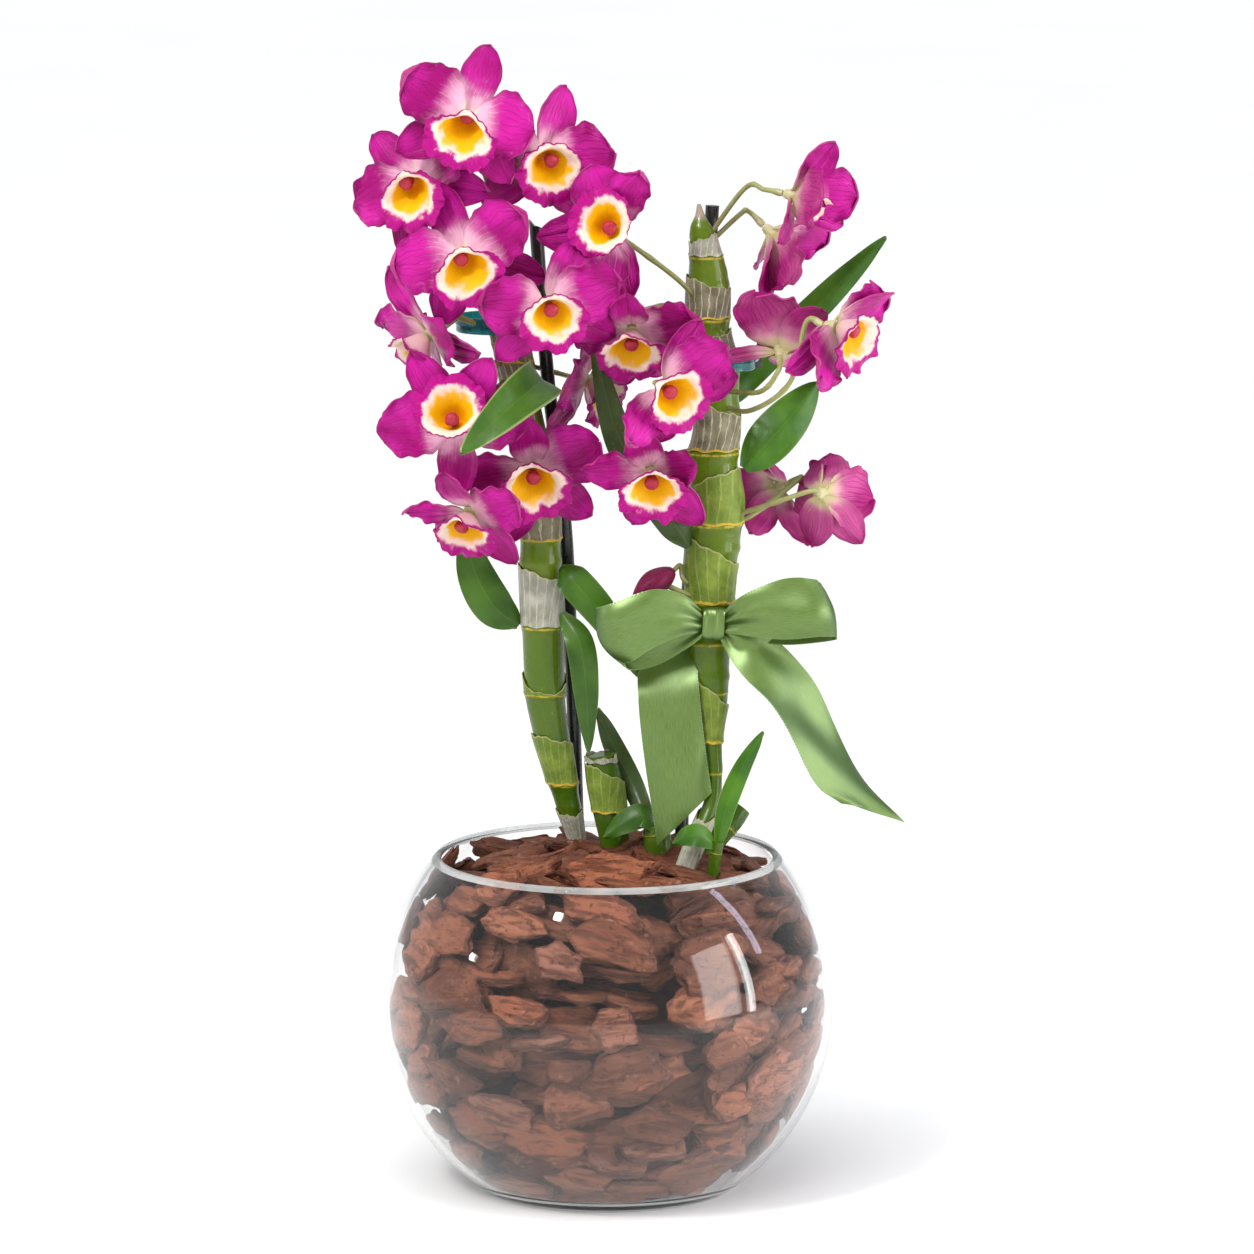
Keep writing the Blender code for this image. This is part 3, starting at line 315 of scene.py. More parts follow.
feed(Base_Color=colour, Normal=bumped(plus(lines, small), 0.4, 0.0004))

# leaves: tone 0 is dull and dark, tone 1 fresh
leafGreen = newMaterial("leafGreen", Specular_IOR_Level=0.22, Coat_Weight=0.12, Coat_Roughness=0.2)
along, across, tone, pale = map(reading, ("along", "across", "tone", "paleEdge"))
patches, small = mottled(60, 4), mottled(380, 4)
lines = veinsOf(along, across, 11, 0.15, tone)
side = unsigned(across)
colour = paint(
    tint(patches, (0.030, 0.055, 0.012), (0.052, 0.088, 0.020)),
    (tone, tint(patches, (0.024, 0.100, 0.002), (0.062, 0.180, 0.006))),
    (times(lines, 0.14), (0.12, 0.22, 0.03)),
    (times(fade(side, 0.045, 0.0), 0.3), (0.14, 0.24, 0.04)),
    (times(mottled(520, 2, 0.64, 0.7), minus(1.0, tone)), (0.12, 0.07, 0.03)),
    (times(fade(side, 0.89, 0.98), pale), (0.22, 0.30, 0.08)))
feed(Base_Color=colour, Roughness=scaled(small, 0.2, 0.28),
     Normal=bumped(minus(times(small, 0.4), lines), 0.2, 0.0004))

stakeBlack = newMaterial("stakeBlack")
patches = mottled(200, 5)
scuffs = times(mottled(900, 2, 0.62, 0.72), 0.5)
feed(Base_Color=tint(scuffs, (0.012, 0.013, 0.012), (0.10, 0.10, 0.09)),
     Roughness=scaled(patches, 0.2, 0.2), Normal=bumped(patches, 0.1, 0.0003))

clipTeal = newMaterial("clipTeal", IOR=1.49, Transmission_Weight=0.55)
patches = mottled(160)
feed(Base_Color=tint(patches, (0.01, 0.20, 0.21), (0.02, 0.34, 0.36)), Roughness=scaled(patches, 0.12, 0.12))

# satin: weave from the ribbon's own run and across values, with painted shade, painted glints and a partly
# painted sheen; thread and stitch are lengths in metres
satin = dict(thread=0.0005, threadsAcross=180.0, stitch=0.0011)
ribbonSatin = newMaterial("ribbonSatin", Metallic=0.35, Specular_IOR_Level=0.8)
run, across = map(reading, ("run", "across"))
weave = times(sine(times(run, tau / satin["thread"])), sine(times(across, satin["threadsAcross"])))
spot = addNode("CombineXYZ", {0: times(run, 90.0), 1: times(across, 22.0)}).outputs[0]
slubAndSheen, paintedGlints = noiseAt(spot, 3.0, 4.0), noiseAt(spot, 16.0, 2.0)
facingShade = addNode("LayerWeight", {"Blend": 0.5}).outputs["Facing"]
side = unsigned(across)
stitches = sine(times(run, tau / satin["stitch"]))
selvedge = fade(side, 0.945, 0.965)
colour = paint(
    # the slub tone is partly real slub, partly a painted satin sheen
    (0.085, 0.155, 0.024), (fade(slubAndSheen, 0.3, 0.7), (0.140, 0.232, 0.040)),
    # painted shade: darker where the satin turns away from view
    (fade(facingShade, 0.04, 0.55), (0.038, 0.090, 0.012)),
    # painted glints: pale flecks on the glint noise, which also varies the roughness
    (times(fade(paintedGlints, 0.62, 0.72), 0.25), (0.42, 0.62, 0.24)),
    (times(selvedge, fade(stitches, -0.2, 0.4)), (0.09, 0.20, 0.04)),
    (times(fade(side, 0.985, 1.0), fade(stitches, 0.3, -0.3)), (0.45, 0.60, 0.28)))
relief = plus(plus(times(weave, 0.25), times(slubAndSheen, 1.2)), times(selvedge, stitches))
feed(Base_Color=colour, Roughness=scaled(paintedGlints, 0.25, 0.22), Normal=bumped(relief, 0.16, 0.0002))

# bark: layered chips, read in each chip's own directions, with painted shade towards each chip's rim
barkRed = newMaterial("barkRed", Roughness=0.62, Specular_IOR_Level=0.3)
local, tone, edge = reading("local", "Vector"), reading("tone"), reading("edge")
grainSpace, layerSpace = (addNode("VectorMath", {0: local, 1: pull}, operation="MULTIPLY").outputs[0]
                          for pull in ((50.0, 260.0, 600.0), (40.0, 60.0, 1300.0)))
grain, layers = noiseAt(grainSpace, 1.0, 5.0, Roughness=0.6), noiseAt(layerSpace, 1.0, 3.0)
patches, pits = mottled(55, 5), mottled(480, 4, 0.60, 0.72)
colour = paint(
    (0.095, 0.028, 0.014), (fade(tone, 0.0, 0.6), (0.305, 0.096, 0.046)),
    (fade(tone, 0.55, 0.95), (0.270, 0.118, 0.084)),
    (times(patches, 0.45), (0.330, 0.125, 0.062)),
    (times(fade(grain, 0.54, 0.38), 0.75), (0.075, 0.020, 0.010)),
    (times(fade(layers, 0.56, 0.66), 0.5), (0.070, 0.020, 0.012)),
    (times(pits, 0.5), (0.110, 0.036, 0.020)),
    (times(mottled(210, 4, 0.60, 0.76), 0.4), (0.50, 0.26, 0.17)),
    # painted shade: each chip darker towards its rim
    (times(fade(scaled(patches, -0.12, edge), 0.70, 0.95), 0.62), (0.060, 0.018, 0.009)))
relief = minus(plus(grain, times(layers, 0.8)), times(pits, 0.5))
feed(Base_Color=colour, Normal=bumped(relief, 0.9, 0.0022))

# glass lets most of a lamp's light through to the bark
bowlGlass = newMaterial("bowlGlass", IOR=1.36, Transmission_Weight=1.0)
smears = mottled(35, 3, 0.45, 0.8)
shadowRay = addNode("LightPath").outputs["Is Shadow Ray"]
feed(Base_Color=tint(smears, (0.985, 0.990, 0.988), (0.965, 0.975, 0.972)), Roughness=times(smears, 0.03),
     Alpha=scaled(shadowRay, -0.85, 1.0))

# the polished rim and foot are painted pale: a painted highlight for the light they catch
glassEdge = newMaterial("glassEdge", Roughness=0.12, IOR=1.4, Transmission_Weight=0.35,
                        Specular_IOR_Level=0.6)
smears = mottled(60, 3, 0.4, 0.7)
feed(Base_Color=tint(smears, (0.86, 0.90, 0.88), (0.78, 0.83, 0.81)), Alpha=scaled(smears, -0.1, 0.5))
print("materials made")

# helpers for shapes

def mmVector(numbers):
    return Vector(numbers) * mm


def smoothBetween(values, t):
    # Catmull-Rom through a list of vectors; past the ends it runs on straight
    spans = len(values) - 1
    clamped = min(max(t, 0.0), 1.0)
    at = min(int(clamped * spans), spans - 1)
    f = clamped * spans - at
    p1, p2 = values[at], values[at + 1]
    p0 = values[at - 1] if at > 0 else p1 * 2 - p2
    p3 = values[at + 2] if at + 2 <= spans else p2 * 2 - p1
    point = 0.5 * (2 * p1 + (p2 - p0) * f + (2 * p0 - 5 * p1 + 4 * p2 - p3) * f ** 2
                   + (3 * p1 - p0 - 3 * p2 + p3) * f ** 3)
    if t != clamped:
        end = values[-1] - values[-2] if t > 1 else values[1] - values[0]
        point = point + end * (t - clamped) * spans
    return point


def mmVectors(rows):
    return [mmVector(row) for row in rows]


def headingAt(route, t, reach):
    return (smoothBetween(route, t + reach) - smoothBetween(route, t - reach)).normalized()


def startPiece(*names):
    builder = bmesh.new()
    for name in names:
        builder.verts.layers.float.new(name)
    return builder


def setValues(builder, corner, values):
    for name, value in values.items():
        corner[builder.verts.layers.float[name]] = value


def addGrid(builder, along, across, shape, merge=0):
    # shape places a point from t, 0 to 1, and v, -1 to 1; points closer than merge, in mm, become one
    made = bmesh.ops.create_grid(builder, x_segments=along, y_segments=across, size=0.5)["verts"]
    for corner in made:
        corner.co, values = shape(corner.co.x + 0.5, corner.co.y * 2)
        setValues(builder, corner, values)
    if merge:
        bmesh.ops.remove_doubles(builder, verts=made, dist=merge * mm)


def markOld(builder):
    for part in (*builder.verts, *builder.faces):
        part.tag = True


def freshParts(parts):
    return [part for part in parts if not part.tag]


def addTurned(builder, profile, steps, shape, material=0):
    # spins a profile of (radius, height) about Z, closes it, then puts each point in place
    markOld(builder)
    spots = [builder.verts.new((r, 0, d)) for r, d in profile]
    edges = [builder.edges.new(pair) for pair in zip(spots, spots[1:])]
    bmesh.ops.spin(builder, geom=spots + edges, cent=(0, 0, 0), axis=(0, 0, 1), angle=tau, steps=steps,
                   use_merge=True)
    bmesh.ops.remove_doubles(builder, verts=freshParts(builder.verts), dist=1e-7)
    fresh, made = freshParts(builder.faces), freshParts(builder.verts)
    for face in fresh:
        face.material_index = material
    for corner in made:
        corner.co, values = shape(corner.co.copy())
        setValues(builder, corner, values)
    bmesh.ops.recalc_face_normals(builder, faces=fresh)
    return made


def addTube(builder, route, radiusAt, rings, sides, values, material=0, side=None):
    # a closed tube along a smooth route; radiusAt and values take t from 0 to 1
    frames = []
    for k in range(rings + 1):
        here = smoothBetween(route, k / rings)
        ahead = headingAt(route, k / rings, 0.5 / rings)
        side = ahead.orthogonal() if side is None else side
        side = (side - ahead * side.dot(ahead)).normalized()
        frames.append((here, side, ahead.cross(side)))

    def shape(point):
        k = min(max(round(point.z), 0), rings)
        here, across, above = frames[k]
        radius = radiusAt(k / rings)
        place = here + (across * point.x + above * point.y) * radius
        return place, values(k / rings, atan2(point.y, point.x) / tau)

    profile = [(0, 0)] + [(1, k) for k in range(rings + 1)] + [(0, rings)]
    return addTurned(builder, profile, sides, shape, material)


def addObject(name, data):
    thing = bpy.data.objects.new(name, data)
    bpy.context.scene.collection.objects.link(thing)
    return thing


def meshObject(name, builder, materials):
    mesh = bpy.data.meshes.new(name)
    builder.to_mesh(mesh)
    builder.free()
    for material in materials:
        mesh.materials.append(material)
    return addObject(name, mesh)


def wallBuilder(builder, thickness, backOffset=0):
    # thickens what the builder holds so far and returns a new builder; the back may take another material
    thing = meshObject("wall", builder, [None] * 4)
    wall = thing.modifiers.new("wall", "SOLIDIFY")
    wall.thickness, wall.offset = thickness, 0.0
    wall.material_offset = wall.material_offset_rim = backOffset
    bpy.context.view_layer.update()
    shape = bpy.data.meshes.new_from_object(thing.evaluated_get(bpy.context.evaluated_depsgraph_get()))
    fresh = bmesh.new()
    fresh.from_mesh(shape)
    bpy.data.objects.remove(thing, do_unlink=True)
    return fresh


def finishPiece(name, builder, materials, nodes, sharp=50, outward=False):
    if outward:
        bmesh.ops.recalc_face_normals(builder, faces=builder.faces)
    for face in builder.faces:
        face.smooth = True
    piece = meshObject(name, builder, materials)
    piece.data.set_sharp_from_angle(angle=radians(sharp))
    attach(piece, "root")
    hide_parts(*nodes)
    return piece


# blooms: centre, turn to the right, tilt up, roll, spread, fold forward, cane, stalk height, stalk's points
blooms = {
    "a": ((-60, -28, 475), 5, 13, 19, 1.0, 0.0, "left", 397, ((-50, -8, 440),)),
    "b": ((-81, -13, 446), -32, 6, -34, 1.0, 0.1, "left", 396, ((-58, -4, 425),)),
    "c": ((-28, -11, 456), 25, 4, 12, 1.0, 0.0, "left", 398, ((-43, -2, 430),)),
    "d": ((0, -22, 428), 10, 1, 119, 0.95, 0.0, "right", 387, ((30, -8, 404),)),
    "e": ((-61, -31, 416), -8, 3, -25, 1.0, 0.0, "left", 392, ()),
    "f": ((-25, -40, 396), 7, -2, -12, 0.95, 0.0, "left", 392, ()),
    "g": ((11, -25, 383), -2, -25, 1, 0.95, 0.0, "right", 384, ((30, -6, 392),)),
    "h": ((25, -44, 361), 11, -2, -47, 0.95, 0.0, "right", 357, ()),
    "i": ((-76, -14, 380), -62, -28, 0, 0.95, 0.1, "left", 394, ((-60, 0, 394),)),
    "j": ((-65, -33.5, 345.5), -7, 6, 173, 1.0, 0.0, "left", 362, ()),
    "k": ((-32, -15, 321), 1, -8, -8, 1.0, 0.0, "left", 322, ()),
    "l": ((-59, -24, 304), -25, -29, -8, 0.9, 0.0, "left", 312, ()),
    "m": ((19.5, -28.5, 322), -1, -16, -8, 0.96, 0.0, "right", 330, ()),
    "n": ((-9, 14, 356), 59, -10, -4, 0.9, 0.1, "left", 366, ()),
    "o": ((81, -9, 440), 67, -8, 0, 0.95, 0.75, "right", 418, ((60, 2, 442),)),
    "p": ((72, 12, 421), 77, -42, -8, 0.95, 0.6, "right", 416, ((58, 8, 430),)),
    "q": ((75.5, -13, 373), 173, 32, -41, 1.0, 0.0, "right", 354, ((66, -21, 356),)),
    "r": ((97.5, -42, 387), 57, -4, 1, 1.0, 0.1, "right", 348, ((62, -22, 348), (79, -34, 362))),
    "s": ((76, 21.5, 307.5), 222, -25, 0, 0.87, 0.5, "right", 296, ((62, 0, 298),)),
    "t": ((93.5, -6.5, 309.5), 157, -12, 1, 0.93, 0.9, "right", 297, ((66, -12, 304),)),
}
# what sets single tepals apart: turn in degrees, lift, curl, then factors of length and width
tepalMoves = {
    "a": {"petal_right": (0, 0, 0, 0.88)},
    "b": {"dorsal": (22, 0)},
    "c": {"dorsal": (-18, 0, 0, 1.1), "petal_right": (8, 0)},
    "d": {"dorsal": (-38, 0.2), "petal_left": (15, 0.5, 0, 1, 0.7), "lateral_left": (0, 0, 0, 0.85, 1.5),
          "lateral_right": (-10, 0, 0, 0.9)},
    "f": {"dorsal": (-38, 0)},
    "g": {"dorsal": (0, 0.7), "petal_left": (0, 0, 0, 0.85), "lateral_left": (42, 0),
          "lateral_right": (-25, 0)},
    "h": {"dorsal": (-75, 0.1), "petal_left": (20, 0.4, 0, 1, 0.7), "petal_right": (-25, 0),
          "lateral_left": (0, 0, 0, 0.75), "lateral_right": (0, 0, 0, 1, 1.2)},
    "i": {"dorsal": (36, 0, 0, 1.15), "lateral_right": (30, 0)},
    "j": {"petal_left": (18, 0), "petal_right": (-15, 0), "lateral_left": (10, 0.5),
          "lateral_right": (-22, 0.2)},
    "k": {"dorsal": (0, 0.7), "petal_left": (14, 0, 0, 1, 0.7), "lateral_left": (20, 0),
          "lateral_right": (-12, 0)},
    "l": {"dorsal": (0, 0.6), "petal_left": (-5, 0, 0, 1, 0.4), "lateral_right": (-28, 0)},
    "m": {"dorsal": (0, 0.7), "petal_left": (-8, 0, 0, 1, 0.62), "petal_right": (0, 0.4, 0, 0.7, 0.7),
          "lateral_left": (25, 0, 0, 0.85), "lateral_right": (-22, 0)},
    "o": {"petal_right": (0, 0.2, 0, 0.85), "lateral_left": (0, 0, 0, 0.8),
          "lateral_right": (10, 0.6, 0, 0.85)},
    "p": {"petal_left": (25, 0.25), "lateral_left": (0, 0.5, 0, 1, 1.3)},
    "q": {"dorsal": (-12, 0), "petal_left": (0, 0.7, 0, 0.7), "petal_right": (22, 0, 0, 0.92),
          "lateral_left": (0, 0.8, 0, 0.8), "lateral_right": (3, -0.1, 0, 0.95, 0.5)},
    "r": {"dorsal": (-60, 0.5), "petal_right": (10, 0, 0, 1, 0.8), "petal_left": (50, 0, 0, 0.93),
          "lateral_left": (-14, 0), "lateral_right": (10, 0, 0, 0.8)},
    "s": {"dorsal": (20, 0.3, 0, 0.85), "petal_left": (0, 0.4, 0, 0.8), "petal_right": (0, 0, 0, 1, 0.85),
          "lateral_left": (53, -0.3)},
    "t": {"dorsal": (-12, 0.15, 0, 0.9, 1.3), "petal_left": (12, 0.1, 0, 0.92), "petal_right": (0, 0.1),
          "lateral_left": (10, 0.4), "lateral_right": (-30, 0.3, 0, 0.9)},
}
# tepals; rows give name, bearing, kind and share of the fold forward
tepals = dict(
    seed=40, start=2.2, thickness=0.8, steps=(26, 12),
    sepal=dict(length=32.5, width=17.5, skew=1.0, round=0.55, claw=0.18, tip=0.2, lift=0.0, curl=-0.32,
               cup=0.12, ruffle=0.7, waves=1.0, level=-1.2, frill=0.4, lobes=0.014, notch=0.02, flick=0.06),
    petal=dict(length=30.5, width=28.5, skew=1.10, round=0.46, claw=0.12, tip=0.3, lift=0.20, curl=-0.22,
               cup=0.05, ruffle=2.5, waves=1.7, level=0.7, frill=1.5, lobes=0.034, notch=0.10, flick=0.07),
    rows=(("dorsal", 90, "sepal", 1.0), ("petal_left", 168, "petal", 0.8), ("petal_right", 12, "petal", 0.8),
          ("lateral_left", 222, "sepal", 0.5), ("lateral_right", 318, "sepal", 0.5)))
hub = dict(front=1.6, back=5.0, sides=16,
           profile=((0, -5.0), (1.2, -4.9), (2.0, -4.3), (2.3, -3.0), (2.6, -1.2), (3.3, 0.2), (3.2, 1.2),
                    (2.2, 1.6), (0, 1.6)))
lip = dict(profile=((0, 0), (3.2, 1.0), (10.2, 9.6), (14.2, 10.6)), rings=30, sides=104, thickness=0.7,
          seat=0.5, drop=0.42, breadth=1.07, drops={"a": 0.95, "b": 0.75, "e": 0.7},
          closed=dict.fromkeys("opqst", 0.55))
column = dict(
    profile=((0, 0), (1.7, 0.1), (1.8, 2), (2.2, 4.5), (2.9, 6.6), (3.1, 7.8), (2.7, 8.7), (1.6, 9.2),
             (0, 9.0)),
    lean=16, set=2.2, seat=0.8, length=9.1, sides=20)


def bloomFrame(centre, turn, tilt, roll):
    # the bloom's own right, up and forward directions
    a, e, r = (radians(angle) for angle in (turn, tilt, roll))
    forward = Vector((sin(a) * cos(e), -cos(a) * cos(e), sin(e)))
    level = Vector((cos(a), sin(a), 0.0))
    upright = forward.cross(level)
    up = upright * cos(r) + level * sin(r)
    right = level * cos(r) - upright * sin(r)
    place = Matrix((right, up, forward)).transposed().to_4x4()
    place.translation = mmVector(centre)
    return place


# tepals that turn their face to one side, in radians at the tip
tepalTurns = {"o": {"dorsal": -1.3}, "p": {"lateral_left": 0.7}, "r": {"dorsal": 0.6}, "i": {"dorsal": 0.5}}


def tepalSpecs(key, spread, opening, seed):
    draw, extra = random.Random(seed), random.Random(seed * 7 + 1)
    specs = []
    for name, angle, kind, share in tepals["rows"]:
        spec = dict(tepals[kind])
        spec["angle"] = angle + draw.uniform(-6, 6)
        spec["length"] *= spread * draw.uniform(0.94, 1.05)
        spec["width"] *= spread
        spec["curl"] += draw.uniform(-0.14, 0.14)
        spec["lift"] += opening * share + draw.uniform(-0.03, 0.03)
        spec["twist"] = draw.uniform(-0.18, 0.18)
        spec["phase"] = draw.uniform(0.6, 2.6)
        own = tepalMoves.get(key, {}).get(name, ())
        for value, what in zip(own, ("angle", "lift", "curl")):
            spec[what] += value
        for factor, what in zip(own[3:], ("length", "width")):
            spec[what] *= factor
        spec["tone"], spec["shift"] = extra.random(), extra.uniform(0, tau)
        spec["twist"] += tepalTurns.get(key, {}).get(name, 0)
        spec["notch"] *= extra.uniform(0, 1)
        spec["flick"] *= extra.uniform(-1, 1)
        specs.append(spec)
    return specs


def tepalShape(spec, place):
    direction = Matrix.Rotation(radians(spec["angle"]), 4, "Z")
    bend = spec["curl"] if abs(spec["curl"]) > 0.01 else 0.01

    def shape(t, v):
        u = 1 - (1 - t) ** 1.7
        full = max(sin(pi * u ** spec["skew"]), 0.0) ** spec["round"]
        share = max(full, spec["claw"] * (1 - u) + spec["tip"] * u)
        share *= sqrt(max(1 - max((u - 0.93) / 0.07, 0.0) ** 2, 0.0))     # rounded end
        edgeSide = spec["shift"] + (2 if v > 0 else 0)
        share *= 1 + spec["lobes"] * (2 * sin(9 * u + edgeSide) + 1.1 * sin(27 * u + 3 * edgeSide))
        half = spec["width"] / 2 * share
        turn = spec["lift"] + bend * u
        out = spec["length"] * (sin(turn) - sin(spec["lift"])) / bend
        rise = -spec["length"] * (cos(turn) - cos(spec["lift"])) / bend
        tipLobes = sin(5.0 * v + spec["shift"]) + 0.5 * sin(14 * v + spec["shift"])
        out += spec["length"] * spec["lobes"] * u ** 3 * tipLobes
        out -= spec["length"] * spec["notch"] * u ** 6 * exp(-((v - 0.1) / 0.22) ** 2)
        rise += spec["length"] * spec["flick"] * u ** 4
        side = v * half
        wave = sin(tau * spec["waves"] * u + spec["phase"] * v)
        lift = spec["cup"] * half * v * v + spec["ruffle"] * abs(v) ** 3 * u * wave
        lift += spec["frill"] * v ** 4 * u * sin(tau * 4.3 * u + spec["shift"] + (1.7 if v > 0 else 0))
        lift -= 0.40 * exp(-(v / 0.09) ** 2) * min(share * 2, 1)          # groove over the midrib
        lift += 0.34 * sin(11 * v + spec["shift"]) * sin(pi * u)   # shallow folds beside it
        spin = spec["twist"] * u
        across = side * cos(spin) - lift * sin(spin)
        above = side * sin(spin) + lift * cos(spin)
        local = Vector((tepals["start"] + out - sin(turn) * above, across,
                        spec["level"] + rise + cos(turn) * above)) * mm
        return place @ (direction @ local), dict(along=u, across=v, tone=spec["tone"])

    return shape


def makePerianth(key, place, spread, opening, seed):
    builder = startPiece("along", "across", "tone")
    for spec in tepalSpecs(key, spread, opening, seed):
        addGrid(builder, *tepals["steps"], tepalShape(spec, place), 0.02)
    builder = wallBuilder(builder, tepals["thickness"] * mm, 1)
    values = dict(along=0, across=0, tone=0)
    addTurned(builder, hub["profile"], hub["sides"], lambda point: (place @ (point * mm), values), 2)
    finishPiece("bloom_%s_tepals" % key, builder, (petalFront, petalBack, spurPale),
                ["bloom_%s_perianth" % key])


def makeLip(key, place, spread, seed):
    draw = random.Random(seed * 5 + 3)
    shift = [draw.uniform(0, tau) for _ in range(4)]
    start = hub["front"] + gap + lip["seat"]
    drop, closed = lip["drops"].get(key, lip["drop"]), lip["closed"].get(key, 1.0)
    edge = lip["profile"][-1][0]
    knots = [Vector(row) for row in lip["profile"]]
    profile = []
    for k in range(lip["rings"] + 1):
        t = 1 - (1 - k / lip["rings"]) ** 1.25
        r, d = smoothBetween(knots, t)
        profile.append((max(r, 0.0), d))

    def shape(point):
        radius = hypot(point.x, point.y)
        angle = atan2(point.x, -point.y)
        low = (1 + cos(angle)) / 2
        outer = (radius / edge) ** 2
        reach = radius * (1 + outer * (0.20 * low - 0.12 * (1 - low))) * spread * closed
        forward = point.z + outer * (1.6 * (1 - low) - 3.4 * low * low)
        forward += 0.9 * outer * outer * sin(4 * angle + seed * 1.7)
        # teeth and frills that grow towards the margin
        rim = outer ** 5
        teeth = sin(26 * angle + shift[0] + 1.5 * sin(3 * angle + shift[1]))
        reach *= 1 + rim * (0.020 * teeth + 0.035 * sin(9 * angle + shift[2]))
        frill = 0.9 * sin(9 * angle + shift[3]) + 0.45 * sin(17 * angle + shift[1])
        forward += outer ** 3 * (0.5 + 0.8 * low) * frill
        # two flaps stand up beside the column
        forward += 2.6 * outer * exp(-((abs(angle) - 2.45) / 0.38) ** 2)
        forward *= spread
        across = lip["breadth"] * reach * sin(angle)
        spot = Vector((across, -reach * cos(angle) - drop * forward, start + forward)) * mm
        return place @ spot, dict(reach=radius / edge, low=low, bearing=angle / tau, along=0)

    builder = startPiece("reach", "low", "bearing", "along")
    addTurned(builder, profile, lip["sides"], shape)
    towards = place.to_3x3() @ Vector((0, 0, 1))
    if sum(face.normal.dot(towards) for face in builder.faces) < 0:
        bmesh.ops.reverse_faces(builder, faces=builder.faces)
    builder = wallBuilder(builder, lip["thickness"] * mm, 1)
    lean = Matrix.Rotation(radians(column["lean"]), 4, "X")

    def columnShape(point):
        hood = 1 + 0.25 * max(point.y, 0) / 2.5
        seat = Vector((0, column["set"], hub["front"] + gap + column["seat"]))
        local = Vector((point.x * hood * closed ** 0.5, point.y, point.z)) + seat
        values = dict(reach=0, low=0, bearing=0, along=point.z / column["length"])
        return place @ (lean @ (local * mm)), values

    addTurned(builder, column["profile"], column["sides"], columnShape, 2)
    finishPiece("bloom_%s_cup" % key, builder, (lipInside, lipOutside, columnPink),
                ["bloom_%s_lip" % key])


frames = {}
for order, (key, row) in enumerate(blooms.items()):
    frames[key] = bloomFrame(*row[:4])
    makePerianth(key, frames[key], row[4], row[5], tepals["seed"] + order)
    makeLip(key, frames[key], row[4], tepals["seed"] + order)
print("blooms made")


# canes from the top down: x, y, z and width; node heights; sheaths
canes = dict(
    left=dict(
        stations=((-44, 4, 400, 9), (-44, 4, 394, 14), (-43, 4, 380, 15.5), (-41, 4, 371, 15.5),
                  (-37, 4, 349, 15.5), (-31, 4, 318, 16.5), (-29, 4, 301, 17), (-29, 4, 278, 18),
                  (-28, 4, 252, 18.6), (-27, 5, 216, 17.4), (-24, 6, 198, 15.6), (-20, 7, 180, 13.2),
                  (-17, 8, 168, 10.6), (-13, 8, 152, 6.6), (-9, 8, 136, 6.2), (-5, 8, 112, 6.0)),
        nodes=(391, 366, 349, 305, 289, 278, 249, 219, 193, 178, 168), rings=(349, 288, 249, 219, 178),
        # low edge, middle of the high edge, slant, side of the high edge in degrees, dryness, veins
        sheaths=((352, 370, 5, 200, 0.8, 9), (366, 391, 4, 340, 0.9, 9), (288, 306, 6, 60, 0.7, 6),
                 (250, 273, 3.5, 180, 1.0, 11), (219, 226, 6, 100, 0.1, 10),
                 (178.5, 198.5, 2.5, 215, 0.05, 11), (138, 166.5, 2.0, 90, 1.0, 12)),
        # short stalks that have lost their flower, and their radius
        twigs=((((-46, 0, 367), (-53, -8, 363), (-64, -13, 357)), 1.7),
               (((-46, -2, 381), (-56, -9, 384), (-68, -10, 389)), 1.2))),
    right=dict(
        stations=((40, 2, 435, 1.6), (40.5, 2, 430, 4.5), (41, 2, 425, 9.6), (42.5, 2, 416, 12.5),
                  (44, 2, 406, 16.8), (44, 1, 393, 18.6), (44, 0, 380, 19), (48, 0, 365, 19),
                  (48, -1, 352, 19), (48, -2, 337, 19.6), (46, -3, 322, 22), (48, -4, 306, 23.2),
                  (47, -5, 291, 23), (45, -6, 273, 22), (45, -8, 240, 17.8), (46, -10, 219, 13.6),
                  (46, -12, 203, 9), (47, -14, 188, 7), (46, -16, 175, 7.2), (41, -20, 163, 8.4),
                  (36, -24, 151, 8.2), (31, -28, 139, 7.6), (24, -33, 122, 7.0)),
        nodes=(421, 412, 400, 385, 377, 363, 346, 326, 297, 285, 262.5, 244, 229, 203, 189),
        rings=(412, 385, 363, 327, 296, 262, 244, 222, 200.5, 187),
        sheaths=((413, 420.5, 2, 0, 1.0, 9), (386, 401, 3, 180, 0.92, 11), (365, 378.5, 2.5, 20, 0.92, 11),
                 (328.5, 347, 4, 180, 0.75, 11), (296.6, 315.5, 5, 330, 0.05, 8),
                 (262.1, 284.5, 6.5, 190, 0.05, 9), (200.5, 223.5, 7, 180, 0.05, 8),
                 (128, 170, 3, 90, 1.0, 10)),
        twigs=((((44, -10, 262), (35, -13, 266), (27, -13, 269.5)), 1.0),
               (((40, -2, 381), (30, -10, 384), (17, -14, 389.5)), 1.1))))
bud = dict(
    cane="right", place=((29, -10, 276), -62, -28, 0), height=266, bend=(34, -13, 272), straight=4,
    stalkRings=30, sides=48, rings=40, length=22.5,
    profile=((0, 0), (1.6, 0.15), (2.6, 0.9), (4.1, 3.2), (5.2, 6), (5.8, 9), (5.7, 12), (4.9, 15.2),
             (3.6, 18.2), (2.2, 20.6), (1.1, 22.0), (0, 22.5)))
budPlace = bloomFrame(*bud["place"])
caneValues = ("height", "ring", "bearing", "along")
caneLook = dict(sides=44, step=0.8, ringSwell=0.055, ringWidth=1.3, sheathOff=0.45, sheathFlare=0.35,
                sheathThickness=0.35, sheathSteps=(24, 96), stalkRadius=1.1, stalkSides=12,
                stalkRings=14, stalkEnd=9, twigRings=24)


